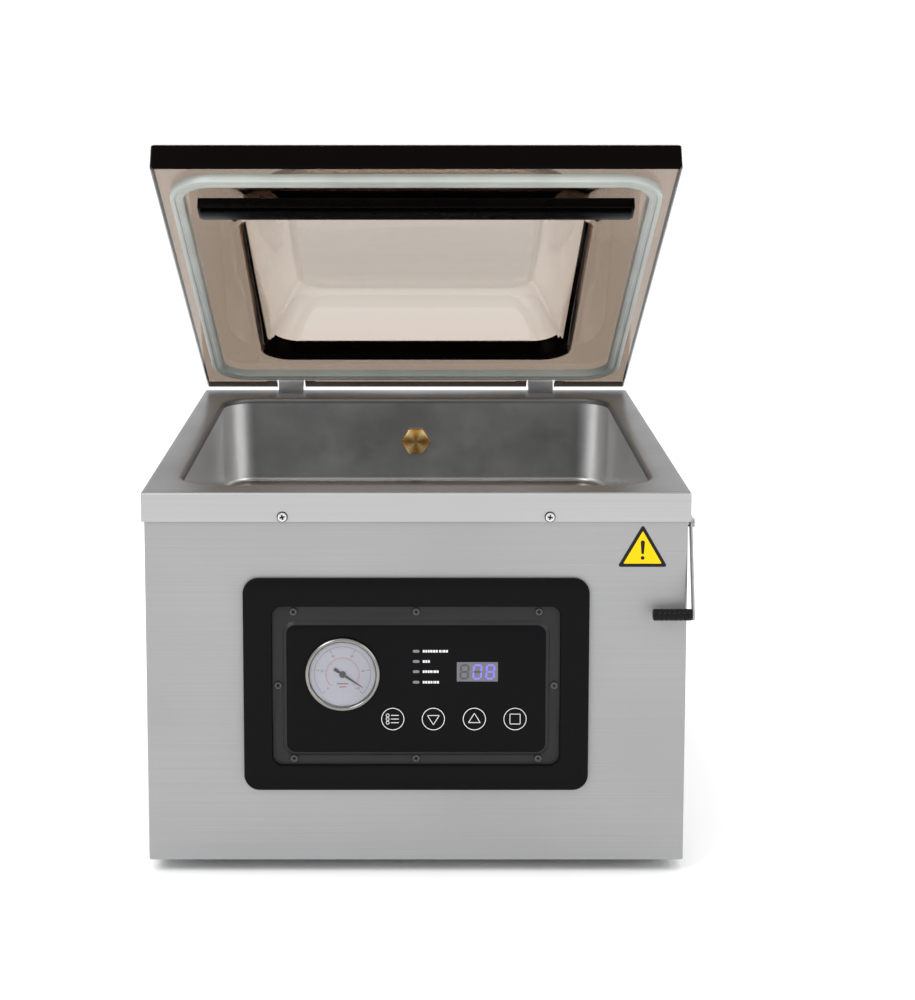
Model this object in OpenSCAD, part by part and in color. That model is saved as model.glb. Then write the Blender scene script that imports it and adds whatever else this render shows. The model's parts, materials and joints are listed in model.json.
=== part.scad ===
// Countertop chamber vacuum sealer: a stainless casing with a pressed chamber, a thick clear domed lid on two
// rear hinges, a seal bar that lifts, a front control panel with a vacuum gauge, and a pump inside.
// +X is the user's right, +Y the back, +Z up. The origin is on the floor, below the middle of the deck.

/* [Casing] */
// Width across the side panels
body_w = 485; // [480:1:500]
// Width of the deck, over its apron
deck_w = 490; // [486:1:506]
// Depth of the deck, front to back
deck_d = 560; // [550:1:580]
// Height of the deck's top above the casing's underside
casing_h = 340.2; // [330:0.1:350]
// Height of the rubber feet
foot_h = 12; // [8:1:20]
// Height of the deck's turned-down apron
apron_h = 27; // [20:1:35]
// Thickness of the stainless sheet
sheet = 1.5; // [1:0.1:2]

/* [Chamber] */
// Width of the chamber's mouth
tub_w = 430; // [410:1:434]
// Front edge of the chamber's mouth
tub_front_y = -247; // [-250:1:-240]
// Rear edge of the chamber's mouth
tub_rear_y = 222; // [215:1:224]
// Depth of the chamber below the deck
tub_depth = 96; // [80:1:110]
// Radius of the chamber's upright corners
tub_corner_r = 37; // [25:1:45]
// Height of the suction port's axis below the deck
port_drop = 49; // [40:1:55]

/* [Lid] */
// Width of the lid
lid_w = 483.6; // [475:0.1:485]
// Length of the lid
lid_l = 560; // [550:1:570]
// Thickness of the lid's plate
lid_t = 24.9; // [18:0.1:26]
// Angle at which the lid stands open
open_angle = 30; // [20:1:40]
// Gap between the closed lid's underside and the deck
lid_gap = 8.3; // [6:0.1:10]
// Distance from the hinge axis back to the lid's rear edge
hinge_inset = 11.7; // [10:0.1:14]
// Height of the hinge axis above the lid's underside
hinge_rise = 8; // [6:0.1:10]
// Position of each hinge block either side of the middle
hinge_x = 144; // [120:1:170]
// Height of the dome's ceiling above the lid's underside
dome_rise = 65; // [50:1:75]

/* [Control panel] */
// Width of the outer bezel
bezel_w = 310; // [300:1:320]
// Height of the outer bezel
bezel_h = 195.6; // [190:0.1:200]
// Diameter of the vacuum gauge
gauge_d = 67.7; // [60:0.1:70]
// Diameter of a key's cap
key_d = 22.4; // [20:0.1:24]

/* [Seal bar] */
// Length of the seal bar and the counter bar
bar_l = 408; // [380:1:410]
// Lift of the seal bar
bar_lift = 8; // [5:1:8]

/* [Latch] */
// Length of the hold-down arm between its pivot and its grip
latch_l = 82.2; // [75:0.1:90]
// Angle at which the hanging arm leans forward
latch_lean = 18.4; // [16:0.1:20]

/* [Hidden] */
$fn = 48;

// Levels and planes
deck_z = foot_h + casing_h;
apron_z = deck_z - apron_h;
pan_top_z = foot_h + sheet;
pan_w = body_w - 2 * sheet;
front_y = -deck_d / 2 + 2.5;
rear_y = deck_d / 2 - 4;
pan_d = rear_y - front_y - 2 * sheet;
wrap_top_z = deck_z - sheet;
screw_z = foot_h + 318;
screw_r = 2;
wrap_flange = 20;
tub_mid_y = (tub_front_y + tub_rear_y) / 2;
tub_l = tub_rear_y - tub_front_y;
tub_floor_z = deck_z - tub_depth;
port_z = deck_z - port_drop;

// Hinge axis, and the lid's own frame: its origin is the hinge axis, and the lid lies closed
hinge_pin_r = 3;
hinge_z = deck_z + lid_gap + hinge_rise;
hinge_y = deck_d / 2 - 10.2;
under_z = -hinge_rise;
lid_rear_y = hinge_inset;
lid_front_y = hinge_inset - lid_l;
notch_w = 32;
notch_depth = 26;
block_w = 28;
block_front_y = -10.8;
block_rear_y = 9.2;
block_top_z = 6.8;
spring_wire_r = 0.9;
clevis_gap = 18;
dome_mouth_w = 350;
dome_mouth_y = [-458, -74];
dome_ceiling_w = 248;
dome_ceiling_y = [-424, -122];
dome_wall = 7;
gasket_w = 13;
gasket_h = 8;
gasket_x = 222;
gasket_front_y = -530.2;
gasket_rear_y = -38.3;
bar_y = [-487.8, -464.8];
bar_body_h = 10;
bar_rubber_h = 4;
bar_mid_y = hinge_y + (bar_y[0] + bar_y[1]) / 2;
seal_top_z = deck_z + lid_gap - bar_body_h - bar_rubber_h - 0.3 - bar_lift;
seal_w = 14;
seal_h = 22;

// Control panel: heights are measured from the middle of the outer bezel
panel_z = foot_h + 164.25;
bezel_t = 4;
bezel_r = 14;
frame_w = 258;
frame_h = 146.6;
frame_r = 8.5;
frame_z = -1.5;
frame_t = 3;
frame_lap = 5;
window_w = 222;
window_h = 107;
plate_w = 232;
plate_h = 116.8;
plate_r = 8;
plate_z = -4.1;
plate_t = 2;
plate_face_y = front_y - plate_t;
board_y = front_y + 8.6;
board_t = 1.6;
gauge_x = -66;
gauge_z = 9.8;
gauge_hole_r = 31;
gauge_proud = 4;
display_x = 54.95;
display_z = 11.8;
display_size = [37, 18];
lamp_zs = [30.8, 21.4, 12, 2.2];
lamp_size = [6, 2.6];
key_xs = [-21, 15.5, 52.4, 89];
key_z = -31.8;
frame_screw_pos = [
    [-110, 66.8], [0, 66.8], [110, 66.8],
    [-124, -1.2], [124, -1.2],
    [-110, -68.9], [0, -68.9], [110, -68.9]
];
board_post_pos = [[-14, 57], [118, 57], [-14, -61], [118, -61]];

// Latch on the right side panel
latch_y = -262;
latch_z = foot_h + 309;
latch_x = deck_w / 2 + 0.6;
latch_t = 2;
latch_bush_r = 4;
grip_r = 5.25;
grip_l = 35;
grip_y = latch_y - latch_l * sin(latch_lean);
grip_z = latch_z - latch_l * cos(latch_lean);

// Pump group: the shaft runs along X
shaft_y = 60;
shaft_z = 105;
shaft_r = 6;
motor_x = [62, 190];
motor_r = 62;
fan_x = [194, 214];
fan_r = 50;
running_gap = 0.05;
valve_size = [160, 43, 40];
valve_y = 233;
valve_z = 175;
hose_r = 8;
hose_bore_r = 5.5;
hose_bend_r = 25;

// Rear panel fittings
switch_pos = [130, 60];
inlet_pos = [175, 60];
rocker_angle = 8;
trunnion_r = 1.2;
vent_slot = [60, 5];
vent_pitch = 12;

// A rectangle with true round corners, centred
module round_rect(w, h, r) {
    square([w - 2 * r, h], center = true);
    square([w, h - 2 * r], center = true);
    for (x = [-1, 1], y = [-1, 1])
        translate([x * (w / 2 - r), y * (h / 2 - r)])
            circle(r = r);
}

// Turns an outline drawn in X and Y to face the front: x stays, y becomes z, and t runs towards the front
module facing_front(t) {
    rotate([90, 0, 0])
        linear_extrude(t)
            children();
}

// A round bar along X that starts at x = 0
module bar_x(r, l) {
    rotate([0, 90, 0])
        cylinder(r = r, h = l);
}

// A round bar along Y that starts at y = 0
module bar_y_dir(r, l) {
    rotate([-90, 0, 0])
        cylinder(r = r, h = l);
}

// Moves to a place on the control panel: x and z from the bezel's middle, at depth y
module on_panel(x, y, z) {
    translate([x, y, panel_z + z])
        children();
}

// Places the lid's parts, drawn closed and about the hinge axis, at the open angle
module lid_place() {
    translate([0, hinge_y, hinge_z])
        rotate([-open_angle, 0, 0])
            children();
}

module mirrored_x() {
    children();
    mirror([1, 0, 0])
        children();
}

// ---- Casing ----

module casing_wrap() {
    color("silver") difference() {
        translate([-body_w / 2, front_y, foot_h])
            cube([body_w, rear_y - front_y, wrap_top_z - foot_h]);
        translate([-body_w / 2 + sheet, front_y + sheet, foot_h - 1])
            cube([body_w - 2 * sheet, rear_y - front_y - 2 * sheet, casing_h + 2]);
        translate([-body_w / 2 + wrap_flange, rear_y - 5, foot_h - 1])
            cube([body_w - 2 * wrap_flange, 10, casing_h + 2]);
        on_panel(0, front_y + 5, frame_z)
            facing_front(10)
                round_rect(frame_w + 2 * frame_lap + 2, frame_h + 2 * frame_lap + 2, frame_r);
        translate([body_w / 2 - 5, latch_y, latch_z])
            bar_x(2.5, 10);
        for (i = [0:7])
            translate([-body_w, 90, foot_h + 40 + i * vent_pitch])
                cube([2 * body_w, vent_slot[0], vent_slot[1]]);
        screw_holes();
    }
}

module rear_panel() {
    color("silver") difference() {
        translate([-234, rear_y, foot_h + 4])
            cube([468, sheet, apron_z - foot_h - 8]);
        for (side = [-1, 0, 1], i = [0:9])
            translate([side * 130 - vent_slot[0] / 2, rear_y - 1, foot_h + 130 + i * vent_pitch])
                cube([vent_slot[0], 5, vent_slot[1]]);
        translate([switch_pos[0] - 7.2, rear_y - 1, switch_pos[1] - 10.2])
            cube([14.4, 5, 20.4]);
        translate([inlet_pos[0] - 14, rear_y - 1, inlet_pos[1] - 10.2])
            cube([28, 5, 20.4]);
        screw_holes();
    }
}

module base_pan() {
    color("gray") difference() {
        translate([-pan_w / 2, front_y + sheet, foot_h])
            cube([pan_w, pan_d, 20]);
        translate([-pan_w / 2 + sheet, front_y + 2 * sheet, pan_top_z])
            cube([pan_w - 2 * sheet, pan_d - 2 * sheet, 30]);
        for (i = [0:7])
            translate([-50 + i * vent_pitch, 190, foot_h - 1])
                cube([vent_slot[1], 50, 5]);
    }
}

module rubber_feet() {
    color("black")
        for (x = [-1, 1], y = [-1, 1])
            translate([x * 190, y * 215, 0]) {
                cylinder(r = 16, h = 3);
                translate([0, 0, 3])
                    cylinder(r = 18, h = foot_h - 3);
            }
}

module top_deck() {
    color("silver") difference() {
        translate([0, 0, apron_z])
            linear_extrude(apron_h)
                round_rect(deck_w, deck_d, 3);
        translate([0, 0, apron_z - 1])
            linear_extrude(apron_h + 1 - sheet)
                round_rect(deck_w - 2 * sheet, deck_d - 2 * sheet, 1.5);
        translate([0, tub_mid_y, deck_z - 5])
            linear_extrude(10)
                round_rect(tub_w, tub_l, tub_corner_r);
        screw_holes();
    }
}

module chamber_tub() {
    color("gray") difference() {
        translate([0, tub_mid_y, tub_floor_z - sheet])
            linear_extrude(tub_depth)
                round_rect(tub_w + 2 * sheet, tub_l + 2 * sheet, tub_corner_r + sheet);
        translate([0, tub_mid_y, tub_floor_z])
            linear_extrude(tub_depth)
                round_rect(tub_w, tub_l, tub_corner_r);
        translate([0, tub_rear_y - 5, port_z])
            bar_y_dir(8, 20);
        for (x = [-1, 1])
            translate([x * 120, bar_mid_y, tub_floor_z - 5])
                cylinder(r = 9, h = 10);
    }
}

// Puts its children at each screw of the apron and the rear panel, with +Y pointing into the machine
module at_panel_screws() {
    for (x = [-119, 119])
        translate([x, -deck_d / 2, screw_z])
            children();
    for (side = [-1, 1], y = [-170, 170])
        translate([side * deck_w / 2, y, screw_z])
            rotate([0, 0, side * 90])
                children();
    for (x = [-228, 228], z = [foot_h + 26, foot_h + 160, foot_h + 295])
        translate([x, rear_y + sheet, z])
            rotate([0, 0, 180])
                children();
}

module screw_holes() {
    at_panel_screws()
        translate([0, -1, 0])
            bar_y_dir(screw_r, 12);
}

// A pan-head screw along -Y: the head stands in front of y = 0 and the shank runs back
module pan_screw() {
    bar_y_dir(screw_r, 6);
    difference() {
        rotate([90, 0, 0])
            cylinder(r = 4, h = 1.8);
        translate([-2.2, -2.5, -0.5])
            cube([4.4, 1.5, 1]);
        translate([-0.5, -2.5, -2.2])
            cube([1, 1.5, 4.4]);
    }
}

module panel_screws() {
    color("gainsboro")
        at_panel_screws()
            pan_screw();
}

// ---- Control panel ----

module control_bezel() {
    color("black")
        on_panel(0, front_y, 0)
            facing_front(bezel_t)
                difference() {
                    round_rect(bezel_w, bezel_h, bezel_r);
                    translate([0, frame_z])
                        round_rect(frame_w, frame_h, frame_r);
                }
}

module control_frame() {
    color("dimgray") {
        difference() {
            on_panel(0, front_y + frame_t, frame_z)
                facing_front(frame_t)
                    round_rect(frame_w + 2 * frame_lap, frame_h + 2 * frame_lap, frame_r);
            on_panel(0, front_y + 10, plate_z)
                facing_front(20)
                    round_rect(window_w, window_h, 6);
            for (p = frame_screw_pos)
                on_panel(p[0], front_y - 5, p[1])
                    bar_y_dir(1.5, 20);
        }
        for (p = board_post_pos)
            on_panel(p[0], front_y + frame_t, p[1])
                bar_y_dir(3.5, board_y - front_y - frame_t);
    }
}

module frame_screws() {
    color("black")
        for (p = frame_screw_pos)
            on_panel(p[0], front_y, p[1]) {
                difference() {
                    rotate([90, 0, 0])
                        cylinder(r = 3.2, h = 1.6);
                    translate([-1.8, -2.5, -0.4])
                        cube([3.6, 1.7, 0.8]);
                    translate([-0.4, -2.5, -1.8])
                        cube([0.8, 1.7, 3.6]);
                }
                bar_y_dir(1.5, 8);
            }
}

module keypad_plate() {
    color("black") difference() {
        on_panel(0, front_y, plate_z)
            facing_front(plate_t)
                round_rect(plate_w, plate_h, plate_r);
        on_panel(gauge_x, front_y - 10, gauge_z)
            bar_y_dir(gauge_hole_r + 0.2, 20);
        on_panel(display_x, front_y + 10, display_z)
            facing_front(20)
                square(display_size + [0.2, 0.2], center = true);
        for (z = lamp_zs)
            on_panel(0, front_y + 10, z)
                facing_front(20)
                    round_rect(lamp_size[0] + 0.1, lamp_size[1] + 0.1, 1.3);
        for (x = key_xs)
            on_panel(x, front_y - 10, key_z)
                bar_y_dir(key_d / 2 + 0.3, 20);
    }
}

// A key's cap fills its hole in the plate, and a stem runs back to its switch
module key_cap(x) {
    color("black")
        on_panel(x, plate_face_y - 0.3, key_z) {
            bar_y_dir(key_d / 2, plate_t - 0.2);
            bar_y_dir(3, plate_t + 2.8);
        }
}

module key_menu() {
    key_cap(key_xs[0]);
}

module key_down() {
    key_cap(key_xs[1]);
}

module key_up() {
    key_cap(key_xs[2]);
}

module key_stop() {
    key_cap(key_xs[3]);
}

module tact_switches() {
    color("dimgray")
        for (x = key_xs)
            on_panel(x, board_y, key_z) {
                rotate([90, 0, 0])
                    cylinder(r = 2.5, h = board_y - front_y - 3.4);
                translate([-5, -3.5, -5])
                    cube([10, 3.5, 10]);
            }
}

module control_board() {
    color("darkgreen") difference() {
        on_panel(50.5, board_y, -2)
            translate([-72.5, 0, -64])
                cube([145, board_t, 128]);
        for (p = board_post_pos)
            on_panel(p[0], board_y - 1, p[1])
                bar_y_dir(1.5, 5);
        on_panel(gauge_x, board_y - 1, gauge_z)
            bar_y_dir(gauge_hole_r + 16, 5);
    }
}

module display_module() {
    color("gray")
        on_panel(display_x, board_y, display_z)
            facing_front(board_y - plate_face_y + 0.1)
                square(display_size, center = true);
}

module indicator_lights() {
    color("lightgray")
        for (z = lamp_zs)
            on_panel(0, board_y, z)
                facing_front(board_y - plate_face_y + 0.2)
                    round_rect(lamp_size[0], lamp_size[1], 1.3);
}

module gauge_bezel() {
    color("gainsboro")
        on_panel(gauge_x, plate_face_y, gauge_z)
            rotate([90, 0, 0])
                difference() {
                    cylinder(r = gauge_d / 2, h = gauge_proud);
                    translate([0, 0, -1])
                        cylinder(r = gauge_d / 2 - 4, h = gauge_proud + 2);
                }
}

module gauge_case() {
    color("dimgray")
        on_panel(gauge_x, plate_face_y, gauge_z) {
            difference() {
                bar_y_dir(gauge_hole_r, 34);
                translate([0, -1, 0])
                    bar_y_dir(gauge_hole_r - 1, 34);
            }
            translate([0, 34, 0])
                rotate([-90, 0, 0])
                    cylinder(r = 8, h = 10, $fn = 6);
            translate([0, 44, 0])
                bar_y_dir(5, 12);
        }
}

module gauge_glass() {
    color("white", 0.3)
        on_panel(gauge_x, plate_face_y - 2.6, gauge_z)
            rotate([90, 0, 0])
                cylinder(r = gauge_d / 2 - 4, h = 1);
}

module gauge_dial() {
    color("white") difference() {
        on_panel(gauge_x, plate_face_y + 0.5, gauge_z)
            rotate([90, 0, 0])
                cylinder(r = gauge_hole_r - 1.5, h = 0.8);
        on_panel(gauge_x, plate_face_y - 2, gauge_z)
            bar_y_dir(1 + running_gap, 5);
    }
}

// The pointer hangs over the dial, and reads zero at the lower right
module gauge_pointer() {
    color("black")
        on_panel(gauge_x, plate_face_y - 0.7, gauge_z) {
            rotate([90, 0, 0])
                cylinder(r = 3, h = 1.3);
            bar_y_dir(1, 8);
            rotate([0, 34, 0])
                facing_front(0.5)
                    polygon([[-9, -1.6], [-9, 1.6], [0, 1.3], [22, 0.25], [22, -0.25], [0, -1.3]]);
        }
}

module hazard_label() {
    color("gold")
        translate([202, front_y, foot_h + 272])
            facing_front(0.4)
                polygon([[-22.3, 0], [22.3, 0], [0, 38.6]]);
}

// ---- Suction line ----

module port_nut() {
    color("goldenrod")
        translate([0, tub_rear_y, port_z]) {
            rotate([90, 0, 0])
                cylinder(r = 16, h = 8, $fn = 6);
            rotate([90, 0, 0])
                cylinder(r = 13, h = 9);
            bar_y_dir(7.9, 8);
        }
}

module port_elbow() {
    color("goldenrod")
        translate([0, tub_rear_y + 8, port_z]) {
            bar_y_dir(10, 18);
            translate([0, 18, 0])
                sphere(r = 10);
            translate([0, 18, -22])
                cylinder(r = hose_bore_r, h = 22);
        }
}

// A length of hose along Z that starts at z = 0
module hose_run(l) {
    difference() {
        cylinder(r = hose_r, h = l);
        translate([0, 0, -1])
            cylinder(r = hose_bore_r, h = l + 2);
    }
}

module suction_hoses() {
    nipple_z = valve_z + valve_size[2] + 10;
    bend_y = shaft_y + hose_bend_r;
    color("black") {
        translate([0, tub_rear_y + 26, nipple_z - 8])
            hose_run(port_z - 12 - nipple_z + 8);
        translate([0, valve_y, valve_z + 20])
            rotate([90, 0, 0])
                hose_run(valve_y - bend_y);
        translate([0, bend_y, valve_z + 20 - hose_bend_r])
            rotate([90, 0, -90])
                rotate_extrude(angle = 90)
                    translate([hose_bend_r, 0])
                        difference() {
                            circle(r = hose_r);
                            circle(r = hose_bore_r);
                        }
    }
}

module valve_block() {
    color("silver") {
        translate([-valve_size[0] / 2, valve_y, valve_z])
            cube(valve_size);
        translate([0, tub_rear_y + 26, valve_z + valve_size[2]])
            cylinder(r = hose_bore_r, h = 10);
    }
}

module solenoid_coils() {
    color("black")
        for (x = [-60, -30, 45])
            translate([x, valve_y + 17, valve_z + valve_size[2]])
                cylinder(r = 12, h = 32);
}

// ---- Pump and motor ----

module pump_body() {
    color("dimgray") difference() {
        union() {
            translate([-60, 5, 32])
                cube([120, 110, 135]);
            translate([0, shaft_y, 166])
                cylinder(r = 11, h = 4);
        }
        translate([-45, shaft_y, shaft_z])
            bar_x(shaft_r + running_gap, 120);
    }
}

module oil_case() {
    color("gray") {
        translate([-60, 115, 32])
            cube([120, 60, 108]);
        for (i = [0:5])
            translate([-50 + i * 18, 175, 45])
                cube([5, 5, 80]);
    }
}

module oil_sight_glass() {
    color("gold")
        translate([-75, 60, 70])
            bar_x(14, 15);
}

module exhaust_filter() {
    color("black")
        translate([-42, 144, 140])
            cylinder(r = 17, h = 40);
}

module motor_housing() {
    color("steelblue") difference() {
        union() {
            translate([motor_x[0], shaft_y, shaft_z])
                bar_x(motor_r, motor_x[1] - motor_x[0]);
            for (a = [0:20:340])
                translate([motor_x[0] + 10, shaft_y, shaft_z])
                    rotate([a, 0, 0])
                        translate([0, -1, 0])
                            cube([motor_x[1] - motor_x[0] - 20, 2, motor_r + 6]);
        }
        translate([motor_x[0] + 8, shaft_y, shaft_z])
            bar_x(motor_r - 6, motor_x[1] - motor_x[0] - 16);
        translate([motor_x[0] - 5, shaft_y, shaft_z])
            bar_x(shaft_r + running_gap, motor_x[1] - motor_x[0] + 10);
    }
}

module fan_cover() {
    color("black") difference() {
        translate([motor_x[1], shaft_y, shaft_z])
            bar_x(motor_r, 30);
        translate([motor_x[1] - 1, shaft_y, shaft_z])
            bar_x(motor_r - 1.5, 29);
        for (a = [0:30:330])
            translate([motor_x[1] + 20, shaft_y, shaft_z])
                rotate([a, 0, 0])
                    translate([0, -3, 18])
                        cube([20, 6, 34]);
    }
}

module motor_shaft() {
    color("silver")
        translate([-40, shaft_y, shaft_z])
            bar_x(shaft_r, 252);
}

module motor_rotor() {
    color("dimgray") difference() {
        translate([motor_x[0] + 26, shaft_y, shaft_z])
            bar_x(34, 76);
        translate([motor_x[0] + 20, shaft_y, shaft_z])
            bar_x(shaft_r, 90);
    }
}

module motor_fan() {
    color("white") difference() {
        union() {
            translate([fan_x[0], shaft_y, shaft_z])
                bar_x(16, fan_x[1] - fan_x[0]);
            for (a = [0:60:300])
                translate([fan_x[0] + 2, shaft_y, shaft_z])
                    rotate([a, 0, 0])
                        translate([0, -1.5, 12])
                            cube([16, 3, fan_r - 12]);
        }
        translate([fan_x[0] - 5, shaft_y, shaft_z])
            bar_x(shaft_r, 40);
    }
}

module pump_mounts() {
    color("black")
        for (x = [-48, 48], y = [20, 160])
            translate([x, y, pan_top_z])
                cylinder(r = 12, h = 32 - pan_top_z);
}

// ---- Electrics ----

module seal_transformer() {
    color("saddlebrown") {
        translate([-195, -150, pan_top_z])
            cube([96, 84, 26]);
        translate([-185, -140, pan_top_z + 26])
            cube([76, 64, 30]);
        translate([-195, -150, pan_top_z + 56])
            cube([96, 84, 22]);
    }
}

module power_board() {
    color("darkgreen") {
        translate([-215, -20, pan_top_z + 10])
            cube([110, 140, 1.6]);
        for (y = [0, 30, 60])
            translate([-205, y, pan_top_z + 11.6])
                cube([28, 20, 18]);
        for (x = [-207, -113], y = [-12, 112])
            translate([x, y, pan_top_z])
                cylinder(r = 3, h = 10);
    }
}

module power_inlet() {
    color("black") difference() {
        union() {
            translate([inlet_pos[0] - 13.5, rear_y - 20, inlet_pos[1] - 9.8])
                cube([27, 20, 19.6]);
            translate([inlet_pos[0] - 20, rear_y + sheet, inlet_pos[1] - 13])
                cube([40, 2.5, 26]);
            translate([inlet_pos[0] - 13.5, rear_y - 1, inlet_pos[1] - 9.8])
                cube([27, 4, 19.6]);
        }
        translate([inlet_pos[0] - 11.5, rear_y - 14, inlet_pos[1] - 8])
            cube([23, 20, 16]);
    }
}

module switch_housing() {
    color("black") difference() {
        union() {
            translate([switch_pos[0] - 7, rear_y - 16, switch_pos[1] - 10])
                cube([14, 18, 20]);
            translate([switch_pos[0] - 9, rear_y + sheet, switch_pos[1] - 12.5])
                cube([18, 2, 25]);
        }
        translate([switch_pos[0] - 5.8, rear_y - 12, switch_pos[1] - 9.2])
            cube([11.6, 20, 18.4]);
        translate([switch_pos[0] - 10, rear_y - 1, switch_pos[1]])
            bar_x(trunnion_r + running_gap, 20);
    }
}

// The rocker turns on trunnions along X, and rests with its upper half pressed in
module power_rocker() {
    color("red")
        translate([switch_pos[0], rear_y - 1, switch_pos[1]])
            rotate([rocker_angle, 0, 0]) {
                translate([-5.4, 0, 0])
                    rotate([90, 0, 90])
                        linear_extrude(10.8)
                            polygon([[-5, -3], [2, -8.2], [6, -8], [4.4, 0], [6, 8], [2, 8.2], [-5, 3]]);
                translate([-6.8, 0, 0])
                    bar_x(trunnion_r, 13.6);
            }
}

module lid_sensor() {
    color("black")
        translate([200, 236, wrap_top_z - 14])
            cube([26, 14, 14]);
}

// ---- Hinges ----

// A folded bracket on each side of the middle: two ears joined in front, with a coil spring between them
module hinge_blocks() {
    color("silver") mirrored_x()
        difference() {
            translate([hinge_x - block_w / 2, hinge_y + block_front_y, deck_z])
                cube([block_w, block_rear_y - block_front_y, hinge_z - deck_z + block_top_z]);
            translate([hinge_x - clevis_gap / 2, hinge_y - 7.5, deck_z - 1])
                cube([clevis_gap, 30, hinge_z - deck_z + 6.5]);
            translate([hinge_x - 30, hinge_y, hinge_z])
                bar_x(hinge_pin_r + running_gap, 60);
        }
}

module hinge_pins() {
    color("gainsboro")
        lid_place()
            mirrored_x()
                translate([hinge_x - 28, 0, 0])
                    bar_x(hinge_pin_r, 56);
}

module hinge_springs() {
    color("dimgray") mirrored_x()
        for (i = [-2:2])
            translate([hinge_x + i * 3, hinge_y, hinge_z])
                rotate([0, 90, 0])
                    rotate_extrude()
                        translate([hinge_pin_r + 0.4 + spring_wire_r, 0])
                            circle(r = spring_wire_r, $fn = 24);
}

// ---- Lid ----

// A block with four sloping sides: mouth and ceiling sizes are across X and along Y
module dome_solid(grow, z0, z1) {
    mw = dome_mouth_w / 2 + grow;
    cw = dome_ceiling_w / 2 + grow;
    y0 = dome_mouth_y[0] - grow;
    y1 = dome_mouth_y[1] + grow;
    c0 = dome_ceiling_y[0] - grow;
    c1 = dome_ceiling_y[1] + grow;
    intersection() {
        translate([0, 100, 0])
            rotate([90, 0, 0])
                linear_extrude(700)
                    polygon([[-mw, z0], [mw, z0], [cw, z1], [-cw, z1]]);
        translate([-300, 0, 0])
            rotate([90, 0, 90])
                linear_extrude(600)
                    polygon([[y0, z0], [y1, z0], [c1, z1], [c0, z1]]);
    }
}

module lid_glass() {
    color("tan", 0.6)
        lid_place()
            difference() {
                union() {
                    translate([-lid_w / 2, lid_front_y, under_z])
                        cube([lid_w, lid_l, lid_t]);
                    dome_solid(dome_wall, under_z, under_z + dome_rise + dome_wall);
                }
                dome_solid(0, under_z - 0.01, under_z + dome_rise);
                mirrored_x() {
                    translate([hinge_x - notch_w / 2, lid_rear_y - notch_depth, under_z - 1])
                        cube([notch_w, notch_depth + 5, lid_t + 2]);
                    translate([hinge_x - 30, 0, 0])
                        bar_x(hinge_pin_r, 60);
                }
            }
}

module lid_gasket() {
    mid_y = (gasket_front_y + gasket_rear_y) / 2;
    run = gasket_rear_y - gasket_front_y;
    color("lightgray")
        lid_place()
            translate([0, mid_y, under_z - gasket_h])
                linear_extrude(gasket_h)
                    difference() {
                        round_rect(2 * gasket_x + gasket_w, run + gasket_w, 41);
                        round_rect(2 * gasket_x - gasket_w, run - gasket_w, 28);
                    }
}

module counter_bar() {
    color("black")
        lid_place()
            translate([-bar_l / 2, bar_y[0], under_z - bar_body_h])
                cube([bar_l, bar_y[1] - bar_y[0], bar_body_h]);
}

module counter_rubber() {
    color("dimgray")
        lid_place()
            translate([-bar_l / 2 + 3, bar_y[0] + 4, under_z - bar_body_h - bar_rubber_h])
                cube([bar_l - 6, bar_y[1] - bar_y[0] - 8, bar_rubber_h]);
}

// ---- Seal bar ----

module seal_bar() {
    color("silver")
        translate([-bar_l / 2, bar_mid_y - seal_w / 2, seal_top_z - seal_h])
            cube([bar_l, seal_w, seal_h - 1]);
}

module seal_wire() {
    color("tan")
        translate([-bar_l / 2, bar_mid_y - 5, seal_top_z - 1])
            cube([bar_l, 10, 1]);
}

module lift_rods() {
    color("gainsboro")
        for (x = [-120, 120])
            translate([x, bar_mid_y, tub_floor_z - 14])
                cylinder(r = 5, h = seal_top_z - seal_h - tub_floor_z + 14);
}

module lift_cylinders() {
    color("silver")
        for (x = [-120, 120])
            translate([x, bar_mid_y, tub_floor_z - 30])
                difference() {
                    union() {
                        cylinder(r = 16, h = 30 - sheet);
                        cylinder(r = 9, h = 36);
                    }
                    translate([0, 0, 4])
                        cylinder(r = 5 + running_gap, h = 40);
                }
}

// ---- Latch ----

module latch_pivot() {
    color("gainsboro")
        translate([body_w / 2 - 4, latch_y, latch_z]) {
            bar_x(2.5, latch_x + latch_t + 0.3 - body_w / 2 + 4);
            translate([4, 0, 0])
                bar_x(latch_bush_r, latch_x - 0.3 - body_w / 2);
            translate([latch_x + latch_t + 0.3 - body_w / 2 + 4, 0, 0])
                bar_x(4.2, 2);
        }
}

module latch_arm() {
    color("silver")
        difference() {
            translate([latch_x, latch_y, latch_z])
                rotate([-latch_lean, 0, 0])
                    rotate([90, 0, 90])
                        linear_extrude(latch_t)
                            union() {
                                circle(r = 6.5);
                                translate([-5, -latch_l])
                                    square([10, latch_l]);
                                translate([0, -latch_l])
                                    circle(r = 5);
                            }
            translate([latch_x - 5, latch_y, latch_z])
                bar_x(2.5 + running_gap, 15);
        }
}

module latch_grip() {
    color("black")
        translate([latch_x - grip_l, grip_y, grip_z])
            bar_x(grip_r, grip_l);
}

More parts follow.
